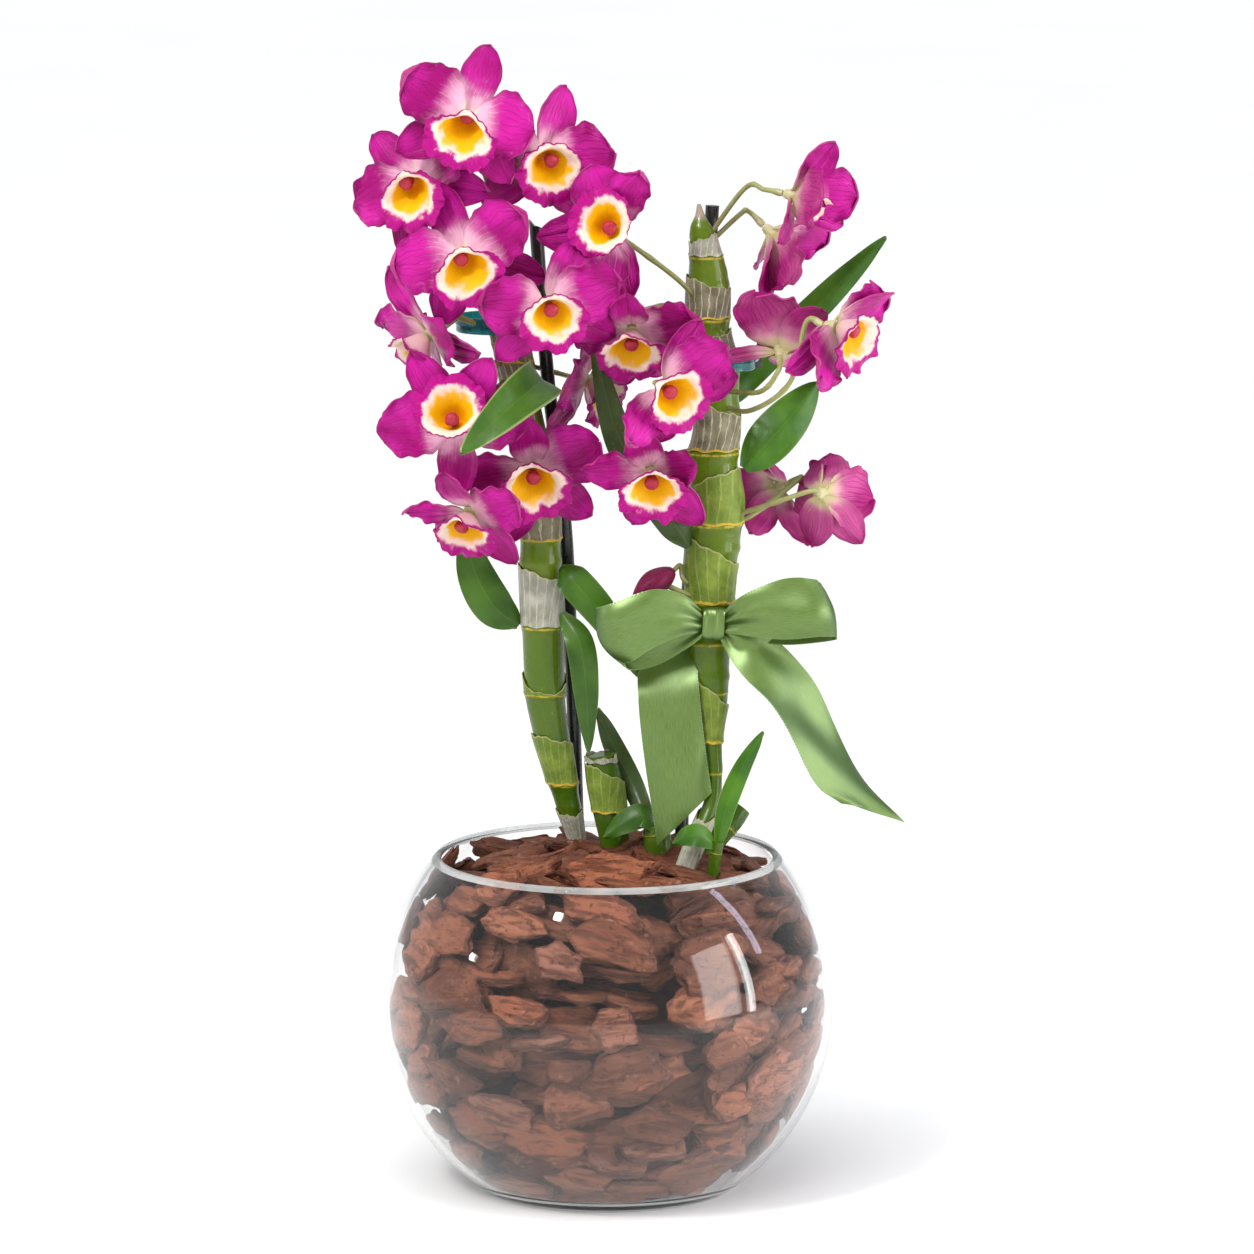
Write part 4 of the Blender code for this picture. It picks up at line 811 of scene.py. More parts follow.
def caneAt(stations, height):
    # middle and radius at a height, in millimetres
    last = len(stations) - 2
    at = next((k for k in range(last + 1) if stations[k][2] >= height >= stations[k + 1][2]),
              0 if height > stations[0][2] else last)
    f = (stations[at][2] - height) / (stations[at][2] - stations[at + 1][2])
    rows = [Vector(row) for row in stations]
    spot = smoothBetween(rows, (at + f) / (len(stations) - 1))
    return Vector((spot[0], spot[1], height)), spot[3] / 2


def caneStart(stations, height):
    # where a stalk begins: straight between the stations, as in the solids
    for upper, lower in zip(stations, stations[1:]):
        if upper[2] >= height >= lower[2]:
            f = (upper[2] - height) / (upper[2] - lower[2])
            return Vector([a + (b - a) * f for a, b in zip(upper[:3], lower[:3])])


def ringAt(spot, rings, width):
    # 1 on a ring, 0 away from it
    return max([exp(-((spot - ring) / width) ** 2) for ring in rings] or [0])


def addCane(builder, cane):
    stations, nodes = cane["stations"], cane["nodes"]
    top, foot = stations[0][2], stations[-1][2]
    count = round((top - foot) / caneLook["step"])

    def shape(point):
        height = top - (top - foot) * min(max(point.z, 0), count) / count
        middle, radius = caneAt(stations, height)
        swell = ringAt(height, nodes, caneLook["ringWidth"] * 1.6)
        ring = ringAt(height, cane["rings"], caneLook["ringWidth"] * 0.7)
        radius = max(radius, 0.4) * (1 + caneLook["ringSwell"] * swell + 0.02 * ring)
        bearing = atan2(point.y, point.x)
        spot = middle + Vector((cos(bearing), sin(bearing), 0)) * radius * hypot(point.x, point.y)
        return spot * mm, dict(height=height / 60, ring=ring, bearing=bearing / tau, along=0)

    profile = [(0, 0)] + [(1, k) for k in range(count + 1)] + [(0, count)]
    addTurned(builder, profile, caneLook["sides"], shape)


def addSheath(builder, stations, row):
    lowEdge, highEdge, slant, side, dryness, veins = row
    draw = random.Random(int(lowEdge * 10))
    shift = draw.uniform(0, tau)

    def shape(t, v):
        bearing = pi * v - pi / 2          # the seam is at the back
        top = highEdge + slant * cos(bearing - radians(side))
        top += 0.5 * sin(5 * bearing + shift) + 0.25 * sin(13 * bearing)
        low = lowEdge + 0.35 * sin(7 * bearing + shift)
        height = low + (top - low) * t
        middle, radius = caneAt(stations, height)
        out = radius + caneLook["sheathOff"] + caneLook["sheathFlare"] * t * t + 0.12 * sin(veins * pi * v)
        out += 0.35 * exp(-(t / 0.06) ** 2)
        spot = middle + Vector((cos(bearing), sin(bearing), 0)) * out
        fan = v * veins * (1 - 0.30 * t) + 0.9 * t * sin(shift)
        return spot * mm, dict(along=t, tone=dryness, veins=fan)

    addGrid(builder, *caneLook["sheathSteps"], shape, 0.001)


def makeSheaths(name, node, stations, rows):
    builder = startPiece("along", "tone", "veins")
    for row in rows:
        addSheath(builder, stations, row)
    builder = wallBuilder(builder, caneLook["sheathThickness"] * mm)
    finishPiece(name, builder, (sheathSkin,), [node])


def addStalk(builder, route, rings, radiusAt, start=0.0, share=1.0):
    # start and share say which part of the stalk's colours it runs through
    addTube(builder, route, radiusAt, rings, caneLook["stalkSides"],
            lambda t, bearing: dict(height=0, ring=0, bearing=bearing, along=start + share * t), 1)


def makeStalk(builder, key, row, stations):
    place = frames[key]
    start = caneStart(stations, row[7]) * mm
    back = place @ mmVector((0, 0, -hub["back"] - gap))
    approach = place @ mmVector((0, 0, -hub["back"] - caneLook["stalkEnd"]))
    route = [start] + mmVectors(row[8]) + [approach, back]
    count = caneLook["stalkRings"] * (len(route) - 1)

    def radiusAt(t):
        swell = 0.55 * exp(-((t - 0.93) / 0.09) ** 2) + 0.25 * exp(-((t - 0.45) / 0.02) ** 2)
        return (caneLook["stalkRadius"] + swell) * mm

    addStalk(builder, route, count, radiusAt)


for side, cane in canes.items():
    builder = startPiece(*caneValues)
    addCane(builder, cane)
    for key, row in blooms.items():
        if row[6] == side:
            makeStalk(builder, key, row, cane["stations"])
    if side == bud["cane"]:
        route = [caneStart(cane["stations"], bud["height"]) * mm, mmVector(bud["bend"])]
        route += [budPlace @ mmVector((0, 0, -bud["straight"])), budPlace @ mmVector((0, 0, -gap))]
        addStalk(builder, route, bud["stalkRings"], lambda t: caneLook["stalkRadius"] * mm, 0, 0.7)
    for points, radius in cane["twigs"]:
        addStalk(builder, mmVectors(points), caneLook["twigRings"],
                 lambda t: radius * (1 + 0.25 * t) * mm, 0.3, 0.5)
    finishPiece("cane_%s_body" % side, builder, (caneGreen, stalkGreen), ["cane_" + side])
    makeSheaths("cane_%s_sheaths" % side, "cane_" + side, cane["stations"], cane["sheaths"])
print("canes made")


def budShape(point):
    angle = atan2(point.y, point.x)
    t = point.z / bud["length"]
    # the folded sepals stand a little proud of each other
    radius = hypot(point.x, point.y) * (1 + 0.05 * sin(3 * angle + 2.2 * t) * sin(pi * t))
    spot = budPlace @ mmVector((radius * cos(angle), radius * sin(angle), point.z))
    return spot, dict(along=0.12 + 0.85 * t, across=sin(1.5 * angle + 1.1 * t), tone=0.4)


builder = startPiece("along", "across", "tone")
knots = [Vector(row) for row in bud["profile"]]
profile = [smoothBetween(knots, k / bud["rings"]) for k in range(bud["rings"] + 1)]
addTurned(builder, [(max(r, 0), d) for r, d in profile], bud["sides"], budShape)
finishPiece("flower_bud_closed", builder, (budSkin,), ["flower_bud"])

# stubs of old canes as x, y, z and width, from the top down
stubs = dict(
    sides=36,
    front=((-3, 4, 192, 12.6), (-1, 4, 180, 15.2), (1, 3, 168, 15), (3, 2, 156, 13.4), (5, 1, 140, 11),
           (6, 1, 122, 9)),
    centre=((21, -9, 163, 10), (22, -9, 156, 12.6), (23, -9, 146, 12), (26, -9, 134, 10)),
    right=((59, 9, 167, 9.6), (55, 7, 162, 10.6), (48, 4, 154, 10), (40, -1, 144, 9), (33, -5, 134, 8)),
    rhizome=((26, -9, 134, 8), (33, -5, 134, 8)),
    sheaths=((167, 184, 4.5, 200, 0.05, 9), (189.0, 191.6, 0.8, 60, 1.0, 14)))


def addStub(builder, rows, marks=(), rings=60):
    # a tube with a flat cut top and a swollen ring at each mark
    route = [mmVector(row[:3]) for row in rows]
    widths = [Vector((row[3], 0, 0)) for row in rows]

    def radiusAt(t):
        return smoothBetween(widths, t).x / 2 * mm * (1 + 0.05 * ringAt(t, marks, 0.012))

    def values(t, bearing):
        return dict(height=route[0].z * 16 - t * 1.2, ring=ringAt(t, marks, 0.02), bearing=bearing, along=t)

    addTube(builder, route, radiusAt, rings, stubs["sides"], values)


def capEnds(builder, spot, normal, material):
    # faces that lie on the cut get the dry material
    for face in builder.faces:
        if face.normal.dot(normal) > 0.9 and (face.calc_center_median() - spot).length < 6 * mm:
            face.material_index = material


builder = startPiece(*caneValues)
addStub(builder, stubs["front"], (0.34,), 90)
builder.normal_update()
capEnds(builder, mmVector(stubs["front"][0][:3]), Vector((0, 0, 1)), 1)
finishPiece("cane_stub_front_body", builder, (caneGreen, dryTan), ["cane_stub_front"])

builder = startPiece(*caneValues)
addStub(builder, stubs["centre"], (0.2, 0.6))
addStub(builder, stubs["right"], (0.35, 0.7))
addStub(builder, stubs["rhizome"], (), 12)
builder.normal_update()
for name in ("centre", "right"):
    top, under = (mmVector(stubs[name][k][:3]) for k in (0, 1))
    capEnds(builder, top, (top - under).normalized(), 1)
finishPiece("cane_stubs_back_body", builder, (caneGreen, dryTan), ["cane_stubs_back"])

makeSheaths("cane_stub_front_sheath", "cane_stub_front", stubs["front"], stubs["sheaths"])
print("stubs made")

# leaves: cane, height of the foot, side in degrees, the way to the tip,
# width, fold, inset of the foot, tone, pale edge
leaves = {
    "a": ("right", 287, 215, ((28, -17, 300), (6, -11, 333), (-6, -8, 376)), 15.5, 0.25, 0.75, 0.0, 0.0),
    "b": ("left", 356, -50, ((-28, -24, 361), (-42, -52, 353), (-62, -66, 336)), 20, -0.3, 0.8, 0.6, 1.0),
    "c": ("right", 320, -4, ((70, -2, 331), (82, 4, 344), (92, 10, 356)), 20, 0.3, 0.0, 1.0, 0.2),
    "d": ("right", 348, 62, ((63, 25, 358), (97, 30, 392), (122, 25, 418)), 13.5, 0.2, 0.0, 0.9, 0.0),
    "e": ("left", 276, -36, ((-15, -11, 272), (1, -11, 253), (14, -9, 229)), 15, 0.25, 0.0, 0.75, 0.2),
    "f": ("left", 250, 190, ((-49, 0, 258), (-58, 2, 274), (-62, 4, 295)), 18, 0.25, 1.15, 0.6, 0.0),
    "g": ("left", 256, -40, ((-12, -9, 244), (-9, -9, 222), (-8, -7, 195)), 12.5, 0.2, 0.0, 0.6, 0.2),
}
lowLeaves = {
    "leaf_h": (((20, -6, 158), (12, 8, 176), (2, 12, 196), (-4, 12, 211)), 10, 0.25, 0.05, 0.3),
    "leaf_i": (((22, -11, 160), (16, -14, 168), (6, -14, 164), (-1, -12, 158)), 11, 0.3, 0.7, 0.2),
    "shoot_blade": (((48, -30.5, 157), (52, -32, 175), (59, -31, 193), (68, -29, 208)), 8.5, 0.5, 1.0, 0.9),
    "shoot_leaf": (((48, -31, 157), (41, -34, 163), (35, -36, 163), (29, -36, 160)), 10, 0.2, 0.95, 0.2),
}
leafLook = dict(thickness=0.8, footShare=0.22, wave=1.2, lowFootShare=0.3, lowWave=0.8, seat=0.45,
                nodeSwell=1.06, steps=(46, 14))


def bladeShape(route, side, width, fold, wave, foot, tone, paleEdge):
    def shape(t, v):
        u = 1 - (1 - t) ** 1.5
        middle = smoothBetween(route, u)
        ahead = headingAt(route, u, 0.02)
        across = (side - ahead * side.dot(ahead)).normalized()
        above = ahead.cross(across)
        full = max(sin(pi * u ** 0.85), 0.0) ** 0.62
        share = max(full, foot * (1 - u) + 0.16 * u)
        share *= sqrt(max(1 - max((u - 0.97) / 0.03, 0.0) ** 2, 0.0))
        half = width / 2 * share
        crease = sqrt(v * v + 0.006) - 0.077
        lift = fold * half * crease + wave * sin(tau * 1.4 * u + v) * v * v
        spot = middle + across * half * v + above * lift
        return spot, dict(along=u, across=v, tone=tone, paleEdge=paleEdge)

    return shape


def makeBlade(name, node, shape):
    builder = startPiece("along", "across", "tone", "paleEdge")
    addGrid(builder, *leafLook["steps"], shape, 0.01)
    builder = wallBuilder(builder, leafLook["thickness"] * mm)
    finishPiece(name, builder, (leafGreen,), [node])


for key, row in leaves.items():
    cane, height, angle, way, width, fold, inset, tone, paleEdge = row
    upper = next(k for k, s in enumerate(canes[cane]["stations"]) if s[2] < height)
    high, low = canes[cane]["stations"][upper - 1], canes[cane]["stations"][upper]
    share = (high[2] - height) / (high[2] - low[2])
    middle, radius = caneStart(canes[cane]["stations"], height), (high[3] + (low[3] - high[3]) * share) / 2
    out = Vector((cos(radians(angle)), sin(radians(angle)), 0))
    side = (Vector(way[-1]) - middle).cross(Vector((0, -1, 0.15))).normalized()
    sideways = leafLook["footShare"] * width / 2 * abs(side.dot(out))
    foot = middle + out * (radius * leafLook["nodeSwell"] + leafLook["seat"] + sideways - inset)
    route = [foot * mm] + mmVectors(way)
    share, wave = leafLook["footShare"], leafLook["wave"] * mm
    shape = bladeShape(route, side, width * mm, fold, wave, share, tone, paleEdge)
    makeBlade("leaf_%s_blade" % key, "leaf_" + key, shape)

for name, (way, width, fold, tone, paleEdge) in lowLeaves.items():
    route = mmVectors(way)
    side = (route[-1] - route[0]).cross(Vector((0, -1, 0.3))).normalized()
    share, wave = leafLook["lowFootShare"], leafLook["lowWave"] * mm
    shape = bladeShape(route, side, width * mm, fold, wave, share, tone, paleEdge)
    slot, node = ("leaf", "new_shoot") if name.startswith("shoot") else ("cane", "cane_stubs_back")
    makeBlade(name + "_fresh", node, shape)

shootStem = ((48.5, -31, 160, 4.8), (47, -30, 151, 5.2), (45, -28, 138, 5.2))
builder = startPiece(*caneValues)
addStub(builder, shootStem, (0.3,), 30)
finishPiece("shoot_stem", builder, (caneGreen,), ["new_shoot"])
print("leaves made")

# black stakes, from the top down
stakes = dict(
    width=6, sides=24, rings=120, cut=3, cutSlope=1.1,
    left=((-31, 10, 428), (-26, 11, 360), (-18.5, 13, 294), (-16, 16, 240), (-13.5, 20, 168), (-12, 22, 100)),
    right=((46, 15, 433), (44, 14.5, 395), (43, 13.5, 366), (41, 13, 330), (36, 11, 270), (34, 9, 214),
           (33, 7, 160), (32, 5, 105)))
for side in ("left", "right"):
    builder = startPiece("along")
    route = mmVectors(stakes[side])
    made = addTube(builder, route, lambda t: stakes["width"] / 2 * mm, stakes["rings"], stakes["sides"],
                   lambda t, bearing: dict(along=t), side=Vector((1, 0, 0)))
    if side == "left":
        # slanted cut at the top
        cut, top = stakes["cut"] * mm, route[0].z - 0.5 * mm
        for corner in made:
            away = corner.co.z - top
            if away > -cut:
                rise = max(0.0, corner.co.x - route[0].x + cut) * stakes["cutSlope"]
                corner.co.z -= rise * (1 + away / cut)
    bmesh.ops.recalc_face_normals(builder, faces=builder.faces)
    finishPiece("stake_%s_rod" % side, builder, (stakeBlack,), ["stake_" + side], 40)

# clips: centre of the ring and of its catch
clips = dict(radius=14.9, height=7, wall=1.2, sides=72, catch=(4.3, 6.0, 9.0), pin=1.6, pinDepth=0.8,
             pinOut=3.3, bevel=0.6,
             left=((-49.6, 4, 383), (-33.2, 9, 383.6)), right=((48.6, 4.0, 366.5), (64.8, 9.6, 367)))


def paintFaces(corners, material):
    for corner in corners:
        for face in corner.link_faces:
            face.material_index = material


for side in ("left", "right"):
    centre, catch = mmVectors(clips[side])
    builder = startPiece("along")
    inner, outer, half = clips["radius"], clips["radius"] + clips["wall"], clips["height"] / 2
    profile = [(inner, -half + 0.4), (inner + 0.3, -half), (outer - 0.3, -half), (outer, -half + 0.4),
               (outer, -0.6), (outer + 0.25, 0), (outer, 0.6), (outer, half - 0.4), (outer - 0.3, half),
               (inner + 0.3, half), (inner, half - 0.4), (inner, -half + 0.4)]
    addTurned(builder, profile, clips["sides"], lambda point: (point * mm + centre, dict(along=0)))
    bmesh.ops.remove_doubles(builder, verts=builder.verts, dist=1e-6)
    turn = Matrix.Rotation(atan2(catch.y - centre.y, catch.x - centre.x), 4, "Z")
    made = bmesh.ops.create_cube(builder, size=1.0)["verts"]
    bmesh.ops.scale(builder, vec=mmVector(clips["catch"]), verts=made)
    bmesh.ops.transform(builder, matrix=Matrix.Translation(catch) @ turn, verts=made)
    paintFaces(made, 1)
    edges = list({edge for corner in made for edge in corner.link_edges})
    bmesh.ops.bevel(builder, geom=edges, offset=clips["bevel"] * mm, segments=3, affect="EDGES", profile=0.5,
                    material=-1)
    pin = bmesh.ops.create_cone(builder, cap_ends=True, segments=20, radius1=clips["pin"] * mm,
                                radius2=clips["pin"] * 0.8 * mm, depth=clips["pinDepth"] * mm)["verts"]
    spot = Matrix.Translation(catch + mmVector((0, -clips["pinOut"], 0))) @ Matrix.Rotation(pi / 2, 4, "X")
    bmesh.ops.transform(builder, matrix=spot, verts=pin)
    paintFaces(pin, 2)
    finishPiece("clip_%s_ring" % side, builder, (clipTeal, stakeBlack, pinWhite), ["clip_" + side],
                35, True)
print("stakes and clips made")

# ribbon: places along its middle and, for each, half of its width; run lengths are in metres
ribbon = dict(
    thickness=0.5, across=18, stepsPerSpan=9, sway=1.0, bandRadius=11.8, bandHeight=12, bandRun=0.074,
    bandCentre=(45.1, -7.2, 253.5), bandSteps=(60, 10), knotCentre=(46.5, -21.7, 254.5), knotRun=0.034,
    knotSize=(9.4, 6.6, 14), knotSteps=(48, 14),
    belly=dict(left_loop=4.0, right_loop=-4.0, left_tail=-1.2, right_tail=-0.5),
    slants=dict(left_tail=-0.08, right_tail=0.02),
    runs=dict(
        left_loop=(((43, -22, 255), (0, 0, 4)), ((33, -28, 259), (1, 0, 9)), ((20, -32, 258), (0, 0, 13)),
                   ((6, -33, 252), (-5, 0, 12.5)), ((-2, -27, 248), (-6, 0, 12)),
                   ((5, -21, 246), (-5, 0, 12)), ((20, -19.5, 248), (-2, 0, 12)),
                   ((34, -20.5, 251), (0, 0, 8)), ((43, -21, 254), (0, 0, 4))),
        right_loop=(((50, -22, 255), (0, 0, 4)), ((60, -28, 259), (-1, 0, 9)),
                    ((76, -31, 262), (-1, 0, 13)), ((91, -31, 263), (-3.5, 0, 12.7)),
                    ((99, -25, 262), (-4, 0, 12.5)), ((91, -18, 259), (-3.5, 0, 12.5)),
                    ((76, -17.5, 257), (-2, 0, 12)), ((60, -19.5, 255), (0, 0, 8)),
                    ((50, -21, 254.5), (0, 0, 4))),
        left_tail=(((43, -21, 253), (2, 0, 4)), ((35, -18.5, 247), (6, 0, 7)),
                   ((27, -9.5, 240), (12, 0, 5.5)), ((27, -18, 222), (13.3, 0, 1.5)),
                   ((30, -21, 194), (13.4, 0, 1)), ((34, -22, 168), (13.4, 0, 1))),
        right_tail=(((50, -21.5, 253), (1, 0, 4)), ((58, -24, 247), (5, 1, 6)), ((68, -25, 239), (9, 5, 6)),
                    ((80, -26, 226), (9, 9, 4)), ((91, -26, 206), (8, 10.5, 2)),
                    ((103, -26, 185), (9.5, 9.5, 0)), ((116, -26, 172), (13, 3, -3.5)))))


def runShape(stations, slant, belly):
    middles, halves = map(mmVectors, zip(*stations))
    length = sum((b - a).length for a, b in zip(middles, middles[1:]))

    def shape(u, v):
        reach = u + slant * v * u ** 4
        half = smoothBetween(halves, min(reach, 1.0))
        spot = smoothBetween(middles, reach) + half * v
        # soft pleats that run out from the knot
        normal = headingAt(middles, reach, 0.01).cross(half).normalized()
        pinch = exp(-(u / 0.16) ** 2) + (exp(-((1 - u) / 0.16) ** 2) if slant == 0 else 0)
        spot += normal * (0.9 * mm * pinch * sin(7 * v + 1.5))
        fall = min(u * 4, 1) * ribbon["sway"] * mm
        spot += normal * min(u, 1 - u if slant == 0 else 1) * 2 * belly * mm * v * v
        ripple = sin(9.0 * u + 2.2 * v) + 0.5 * sin(17 * u - 3.1 * v + 1) + 0.35 * sin(4 * v + 5 * u)
        spot += normal * fall * ripple
        return spot, dict(run=reach * length, across=v)

    return shape, length


ribbonPieces = startPiece("run", "across")
total = ribbon["bandRun"] + ribbon["knotRun"]
for name, stations in ribbon["runs"].items():
    shape, length = runShape(stations, ribbon["slants"].get(name, 0), ribbon["belly"][name])
    total += length
    addGrid(ribbonPieces, ribbon["stepsPerSpan"] * (len(stations) - 1), ribbon["across"], shape)


def bandShape(t, v):
    angle = tau * t
    centre = mmVector(ribbon["bandCentre"])
    out = ribbon["bandRadius"] + 0.3 + 0.35 * sin(9 * v)
    spot = centre + Vector((cos(angle) * out, sin(angle) * out, v * ribbon["bandHeight"] / 2)) * mm
    return spot, dict(run=t * ribbon["bandRun"], across=v * 0.9)


addGrid(ribbonPieces, *ribbon["bandSteps"], bandShape)


def knotShape(t, v):
    # a soft roll of satin round the middle of the bow
    angle = tau * t
    x, y, z = ribbon["knotSize"]
    centre = mmVector(ribbon["knotCentre"])
    bulge = 1 - 0.10 * abs(v) ** 3
    up = copysign(abs(sin(angle)) ** 0.75, sin(angle)) * z / 2 * bulge
    forward = copysign(abs(cos(angle)) ** 0.8, cos(angle)) * y / 2 * bulge
    fold = 0.35 * sin(6 * v + 0.8) + 0.2 * sin(13 * v)
    spot = centre + Vector((v * x / 2 + 0.4 * sin(angle), -forward - fold * cos(angle), up)) * mm
    return spot, dict(run=t * ribbon["knotRun"], across=v * 0.6)


addGrid(ribbonPieces, *ribbon["knotSteps"], knotShape)
ribbonPieces = wallBuilder(ribbonPieces, ribbon["thickness"] * mm)
bow = finishPiece("ribbon_bow_satin", ribbonPieces, (ribbonSatin,), ["ribbon_bow"], 60)
print("ribbon length by its middle:", round(total, 4))

# bark: angular layered chips lie against the glass and heap at the top
bark = dict(low=(84, 62, -0.97, -0.12), high=(76, 56, -0.16, 0.66), deep=(120, -0.95, 0.62), topChips=30,
            reach=96.2, core=80.0, top=141.5, mound=8.5, length=(24, 42), width=(15, 28), thickness=(4, 8),
            flat=0.66, sizes=(0.5, 1.12), longChip=(2, -52, 149.5))
bowl = dict(radius=100, centre=82.2, rim=75.5, glass=3.0, floor=5.0, bead=1.1, steps=64, sides=144,
            rimEdge=146.7, footEdge=2.2, footReach=45)
bowlCentre = Vector((0, 0, bowl["centre"]))
golden = pi * (3 - sqrt(5))


def barkSurface(x, y):
    return bark["top"] + bark["mound"] * (1 - (x * x + y * y) / 70 ** 2) - 0.05 * y


def holdInBowl(point):
    out = point - bowlCentre
    if out.length > bark["reach"]:
        point = bowlCentre + out.normalized() * bark["reach"]
    point.z = max(point.z, bowl["floor"] + gap)
    return point


def cornered(draw, corners):
    # how far a rough polygon reaches at an angle
    turns = [tau * (k + draw.uniform(-0.3, 0.3)) / corners for k in range(corners)]
    sides = [(turn, draw.uniform(0.78, 1.0)) for turn in turns]
    return lambda angle: min(d / max(cos(angle - turn), 0.25) for turn, d in sides)


def addChip(builder, centre, upward, along, draw, size, detail, tone):
    # upward is the chip's flat side, along its long way
    made = bmesh.ops.create_icosphere(builder, subdivisions=detail, radius=1.0)["verts"]
    side = upward.cross(along).normalized()
    turn = Matrix((side.cross(upward).normalized(), side, upward)).transposed()
    half = [draw.uniform(*bark[k]) / 2 * size for k in ("length", "width", "thickness")]
    outline = cornered(draw, draw.choice((5, 6, 7)))
    shift = Vector([draw.uniform(-50, 50) for _ in range(3)])
    bend = draw.uniform(-0.010, 0.010)
    local = builder.verts.layers.float_vector["local"]
    toneLayer, edgeShadeLayer = (builder.verts.layers.float[name] for name in ("tone", "edge"))
    for corner in made:
        way = corner.co.copy()
        angle = atan2(way.y, way.x)
        plan = hypot(way.x, way.y)
        layer = round(way.z * 3 + 0.6 * noise.noise(shift + way)) / 3
        rough = noise.noise(Vector((cos(angle) * 2, sin(angle) * 2, layer * 3)) + shift)
        edge = outline(angle) * (1 + 0.24 * rough)
        wide = plan ** 0.5 * edge
        x, y = cos(angle) * wide * half[0], sin(angle) * wide * half[1]
        z = copysign(abs(way.z) ** 0.6, way.z) * half[2]
        ridge = noise.noise(Vector((x * 0.05, y * 0.22, 0)) + shift)
        step = round(noise.noise(Vector((x * 0.07, y * 0.13, 9)) + shift) * 3) / 3
        fine = noise.noise(Vector((x * 0.10, y * 0.55, 3)) + shift)
        z += half[2] * (0.45 * ridge + 0.40 * step + 0.16 * fine) + bend * x * x
        spot = Vector((x, y, z))
        corner[local] = (spot + shift) * mm
        # edge tells how far out from the chip's middle a point lies, for the painted shade at its rim
        corner[toneLayer], corner[edgeShadeLayer] = tone, plan
        corner.co = holdInBowl(centre + turn @ spot) * mm


def barkPiece(name, fill):
    builder = startPiece("tone", "edge")
    builder.verts.layers.float_vector.new("local")
    fill(builder, random.Random(name))
    finishPiece(name, builder, (barkRed, barkPaintedShade), ["bark_bed"], 38)


def wallChips(builder, draw, count, low, high, depth, detail, size, tones=(0, 1)):
    for k in range(count):
        level = low + (high - low) * (k + 0.5) / count
        around = sqrt(1 - level * level)
        angle = golden * k + draw.uniform(-0.2, 0.2)
        out = Vector((around * cos(angle), around * sin(angle), level))
        sideways = Vector((-sin(angle), cos(angle), draw.uniform(-0.35, 0.35))).normalized()
        steep = (out.cross(sideways)).normalized()
        steep = steep if steep.z > 0 else -steep
        flat = draw.random() < bark["flat"]
        # some chips press a flat side to the glass, the rest are stacked and show their edges
        upward = out * (1.0 if flat else 0.35) + steep * (draw.uniform(-0.3, 0.5) if flat else 1.0)
        inset = draw.uniform(*depth) + (0 if flat else 5.5)
        least, most = bark["sizes"]
        own = size * (least + (most - least) * sqrt(draw.random()))
        centre = bowlCentre + out * (bark["reach"] - inset)
        addChip(builder, centre, upward.normalized(), sideways, draw, own, detail, draw.uniform(*tones))


def fillTop(builder, draw):
    for k in range(bark["topChips"]):
        reach = 67 * sqrt((k + 0.5) / bark["topChips"])
        x, y = reach * cos(golden * k), reach * sin(golden * k)
        upward = Vector((draw.uniform(-0.35, 0.35), draw.uniform(-0.5, 0.15), 1)).normalized()
        along = Vector((1, draw.uniform(-0.8, 0.8), 0)).normalized()
        centre = Vector((x, y, barkSurface(x, y) + draw.uniform(-3.5, 0.5)))
        addChip(builder, centre, upward, along, draw, draw.uniform(0.65, 1.1), 4, draw.uniform(0, 0.35))
    # the long chip that lies across the front
    upward = Vector((0, -0.4, 1)).normalized()
    addChip(builder, Vector(bark["longChip"]), upward, Vector((1, 0, -0.04)), random.Random(4), 1.5, 5, 0.55)


def fillCore(builder, draw):
    # the core and the deepest chips are painted near black, as the shade deep inside the heap
    made = bmesh.ops.create_uvsphere(builder, u_segments=64, v_segments=40, radius=bark["core"])["verts"]
    for corner in made:
        point = corner.co + bowlCentre
        point.z = min(point.z, barkSurface(point.x, point.y) - 4)
        point += (point - bowlCentre).normalized() * 2.5 * noise.noise(point * 0.08)
        corner.co = holdInBowl(point) * mm
    for face in builder.faces:
        face.material_index = 1
    wallChips(builder, draw, *bark["deep"], (13, 16), 3, 1.1, (0, 0.1))


def fillWall(builder, draw, front, behind, low, high):
    wallChips(builder, draw, front, low, high, (1.5, 4), 4, 1.0)
    # the chips behind take only darker tones: painted shade between the layers
    wallChips(builder, draw, behind, low, high, (8, 11), 4, 1.1, (0, 0.3))


barkPiece("bark_wall_low", lambda builder, draw: fillWall(builder, draw, *bark["low"]))
barkPiece("bark_wall_high", lambda builder, draw: fillWall(builder, draw, *bark["high"]))
barkPiece("bark_top_chips", fillTop)
barkPiece("bark_core", fillCore)
print("bark made")

# glass bowl: one closed profile, spun
builder = startPiece("along")
rimAngle = acos(bowl["rim"] / bowl["radius"])


def wallArc(radius, lowest):
    angles = [lowest + (rimAngle - lowest) * k / bowl["steps"] for k in range(bowl["steps"] + 1)]
    return [(radius * cos(a), bowl["centre"] + radius * sin(a)) for a in angles]


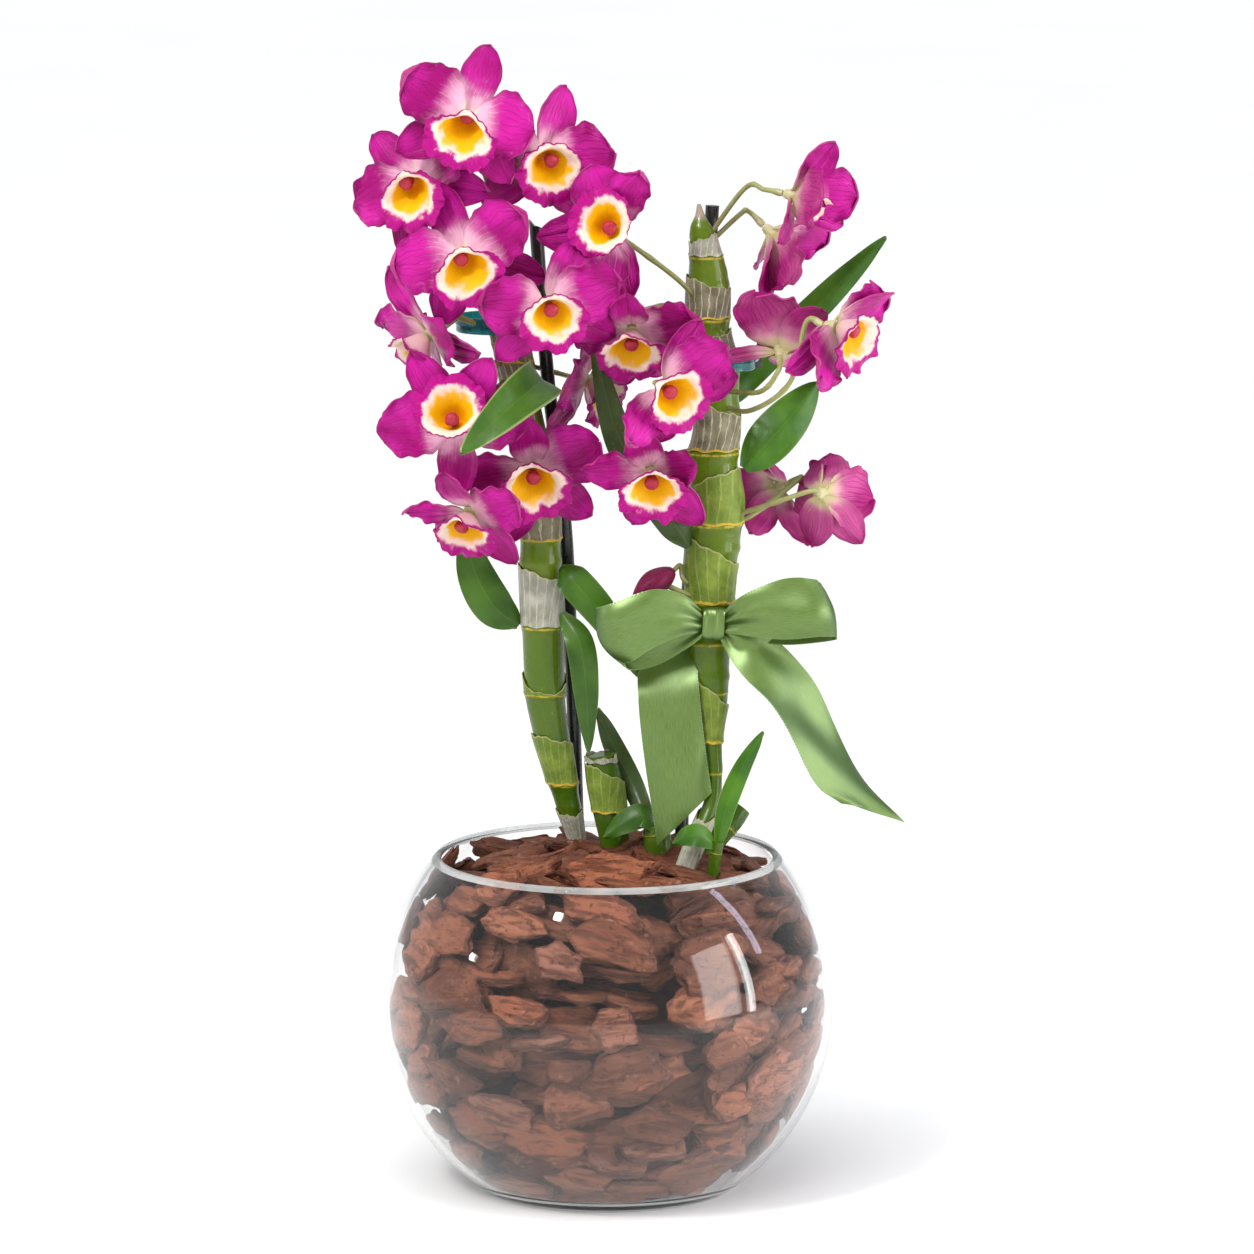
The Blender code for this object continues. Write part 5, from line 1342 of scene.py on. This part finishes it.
inner = bowl["radius"] - bowl["glass"]
inside = wallArc(inner, -asin((bowl["centre"] - bowl["floor"]) / inner))
outside = wallArc(bowl["radius"], -asin(bowl["centre"] / bowl["radius"]))[::-1]
lipStart, lipEnd = Vector(inside[-1]), Vector(outside[0])
middle, across = (lipStart + lipEnd) / 2, (lipEnd - lipStart) / 2
upward = Vector((-across.y, across.x)).normalized()
bead = []
for k in range(1, 10):
    angle = pi * k / 10
    swell = upward * bowl["bead"] * 1.2 * sin(angle)
    bead.append(middle - across * cos(angle) * (1 + 0.12 * sin(angle)) + swell)
foot, within, low = outside[-1][0], inside[0][0], bowl["floor"]
base = [(foot, 0.5), (foot - 0.5, 0), (foot - 6, 0), (foot - 10, 0.7), (foot * 0.5, 0.9), (0, 0.9)]
floorIn = [(0, low), (within * 0.5, low), (within - 3, low), (within - 0.8, low + 0.2)]
profile = floorIn + inside[1:] + bead + outside[:-1] + base
addTurned(builder, profile, bowl["sides"], lambda point: (point * mm, dict(along=0)))
for face in builder.faces:
    # rim and foot
    middle = face.calc_center_median() / mm
    if middle.z > bowl["rimEdge"] or (middle.z < bowl["footEdge"] and middle.xy.length > bowl["footReach"]):
        face.material_index = 1
finishPiece("glass_bowl_wall", builder, (bowlGlass, glassEdge), ["glass_bowl"], 60, True)
print("bowl made")

# stage
stageLook = dict(floor=24.0, world=(0.97, 0.985, 1.0), worldStrength=0.62, aim=(0, 0, 0.12))
builder = bmesh.new()
bmesh.ops.create_grid(builder, x_segments=8, y_segments=8, size=stageLook["floor"])
floor = meshObject("floor", builder, [floorPale])

world = bpy.data.worlds.new("studio")
world.use_nodes = True
world.node_tree.nodes["Background"].inputs[0].default_value = (*stageLook["world"], 1)
world.node_tree.nodes["Background"].inputs[1].default_value = stageLook["worldStrength"]
bpy.context.scene.world = world

# suns: the way to them, strength and angle; lamps: place, size, radiance and colour
suns = dict(sun=((-0.27, -0.46, 0.845), 1.75, 56), sheen=((-0.30, -0.62, 0.72), 2.2, 24))
lamps = dict(
    key=((-0.64, -0.86, 1.40), (0.11, 0.11), 190, (1.0, 0.99, 0.97)),
    side=((-1.54, -0.34, 0.66), (0.09, 0.09), 110, (1.0, 1.0, 1.0)),
    window=((1.42, -0.82, 0.50), (0.62, 0.92), 5.0, (1.0, 0.98, 0.96)),
    blind=((1.56, -0.36, 0.50), (0.12, 0.95), 18, (1.0, 1.0, 1.0)),
    streak=((1.42, 0.02, 0.98), (0.06, 0.9), 14, (0.72, 0.74, 1.0)))


def addLamp(name, kind, place, way):
    lamp = addObject(name, bpy.data.lights.new(name, kind))
    lamp.location = place
    lamp.rotation_euler = way.to_track_quat("-Z", "Y").to_euler()
    return lamp


for name, (way, strength, angle) in suns.items():
    lamp = addLamp(name, "SUN", (0, 0, 0), -Vector(way))
    lamp.data.energy, lamp.data.angle = strength, radians(angle)
    lamp.visible_transmission = False
    suns[name] = lamp
suns["sun"].visible_glossy = False
# the same soft sun once more, only as a shine on satin, leaves and canes; the glass doesn't mirror it
suns["sheen"].visible_diffuse = False
glossy = bpy.data.collections.new("glossy")
for piece in bpy.data.objects:
    if piece.name.startswith(("ribbon", "leaf", "cane_left", "cane_right")) and piece.type == "MESH":
        glossy.objects.link(piece)
suns["sheen"].light_linking.receiver_collection = glossy
for name, (place, size, radiance, colour) in lamps.items():
    lamp = addLamp(name, "AREA", place, Vector(stageLook["aim"]) - Vector(place))
    lamp.data.shape, lamp.data.size, lamp.data.size_y = "RECTANGLE", *size
    lamp.data.energy, lamp.data.color = radiance * pi * size[0] * size[1], colour
print("stage made")
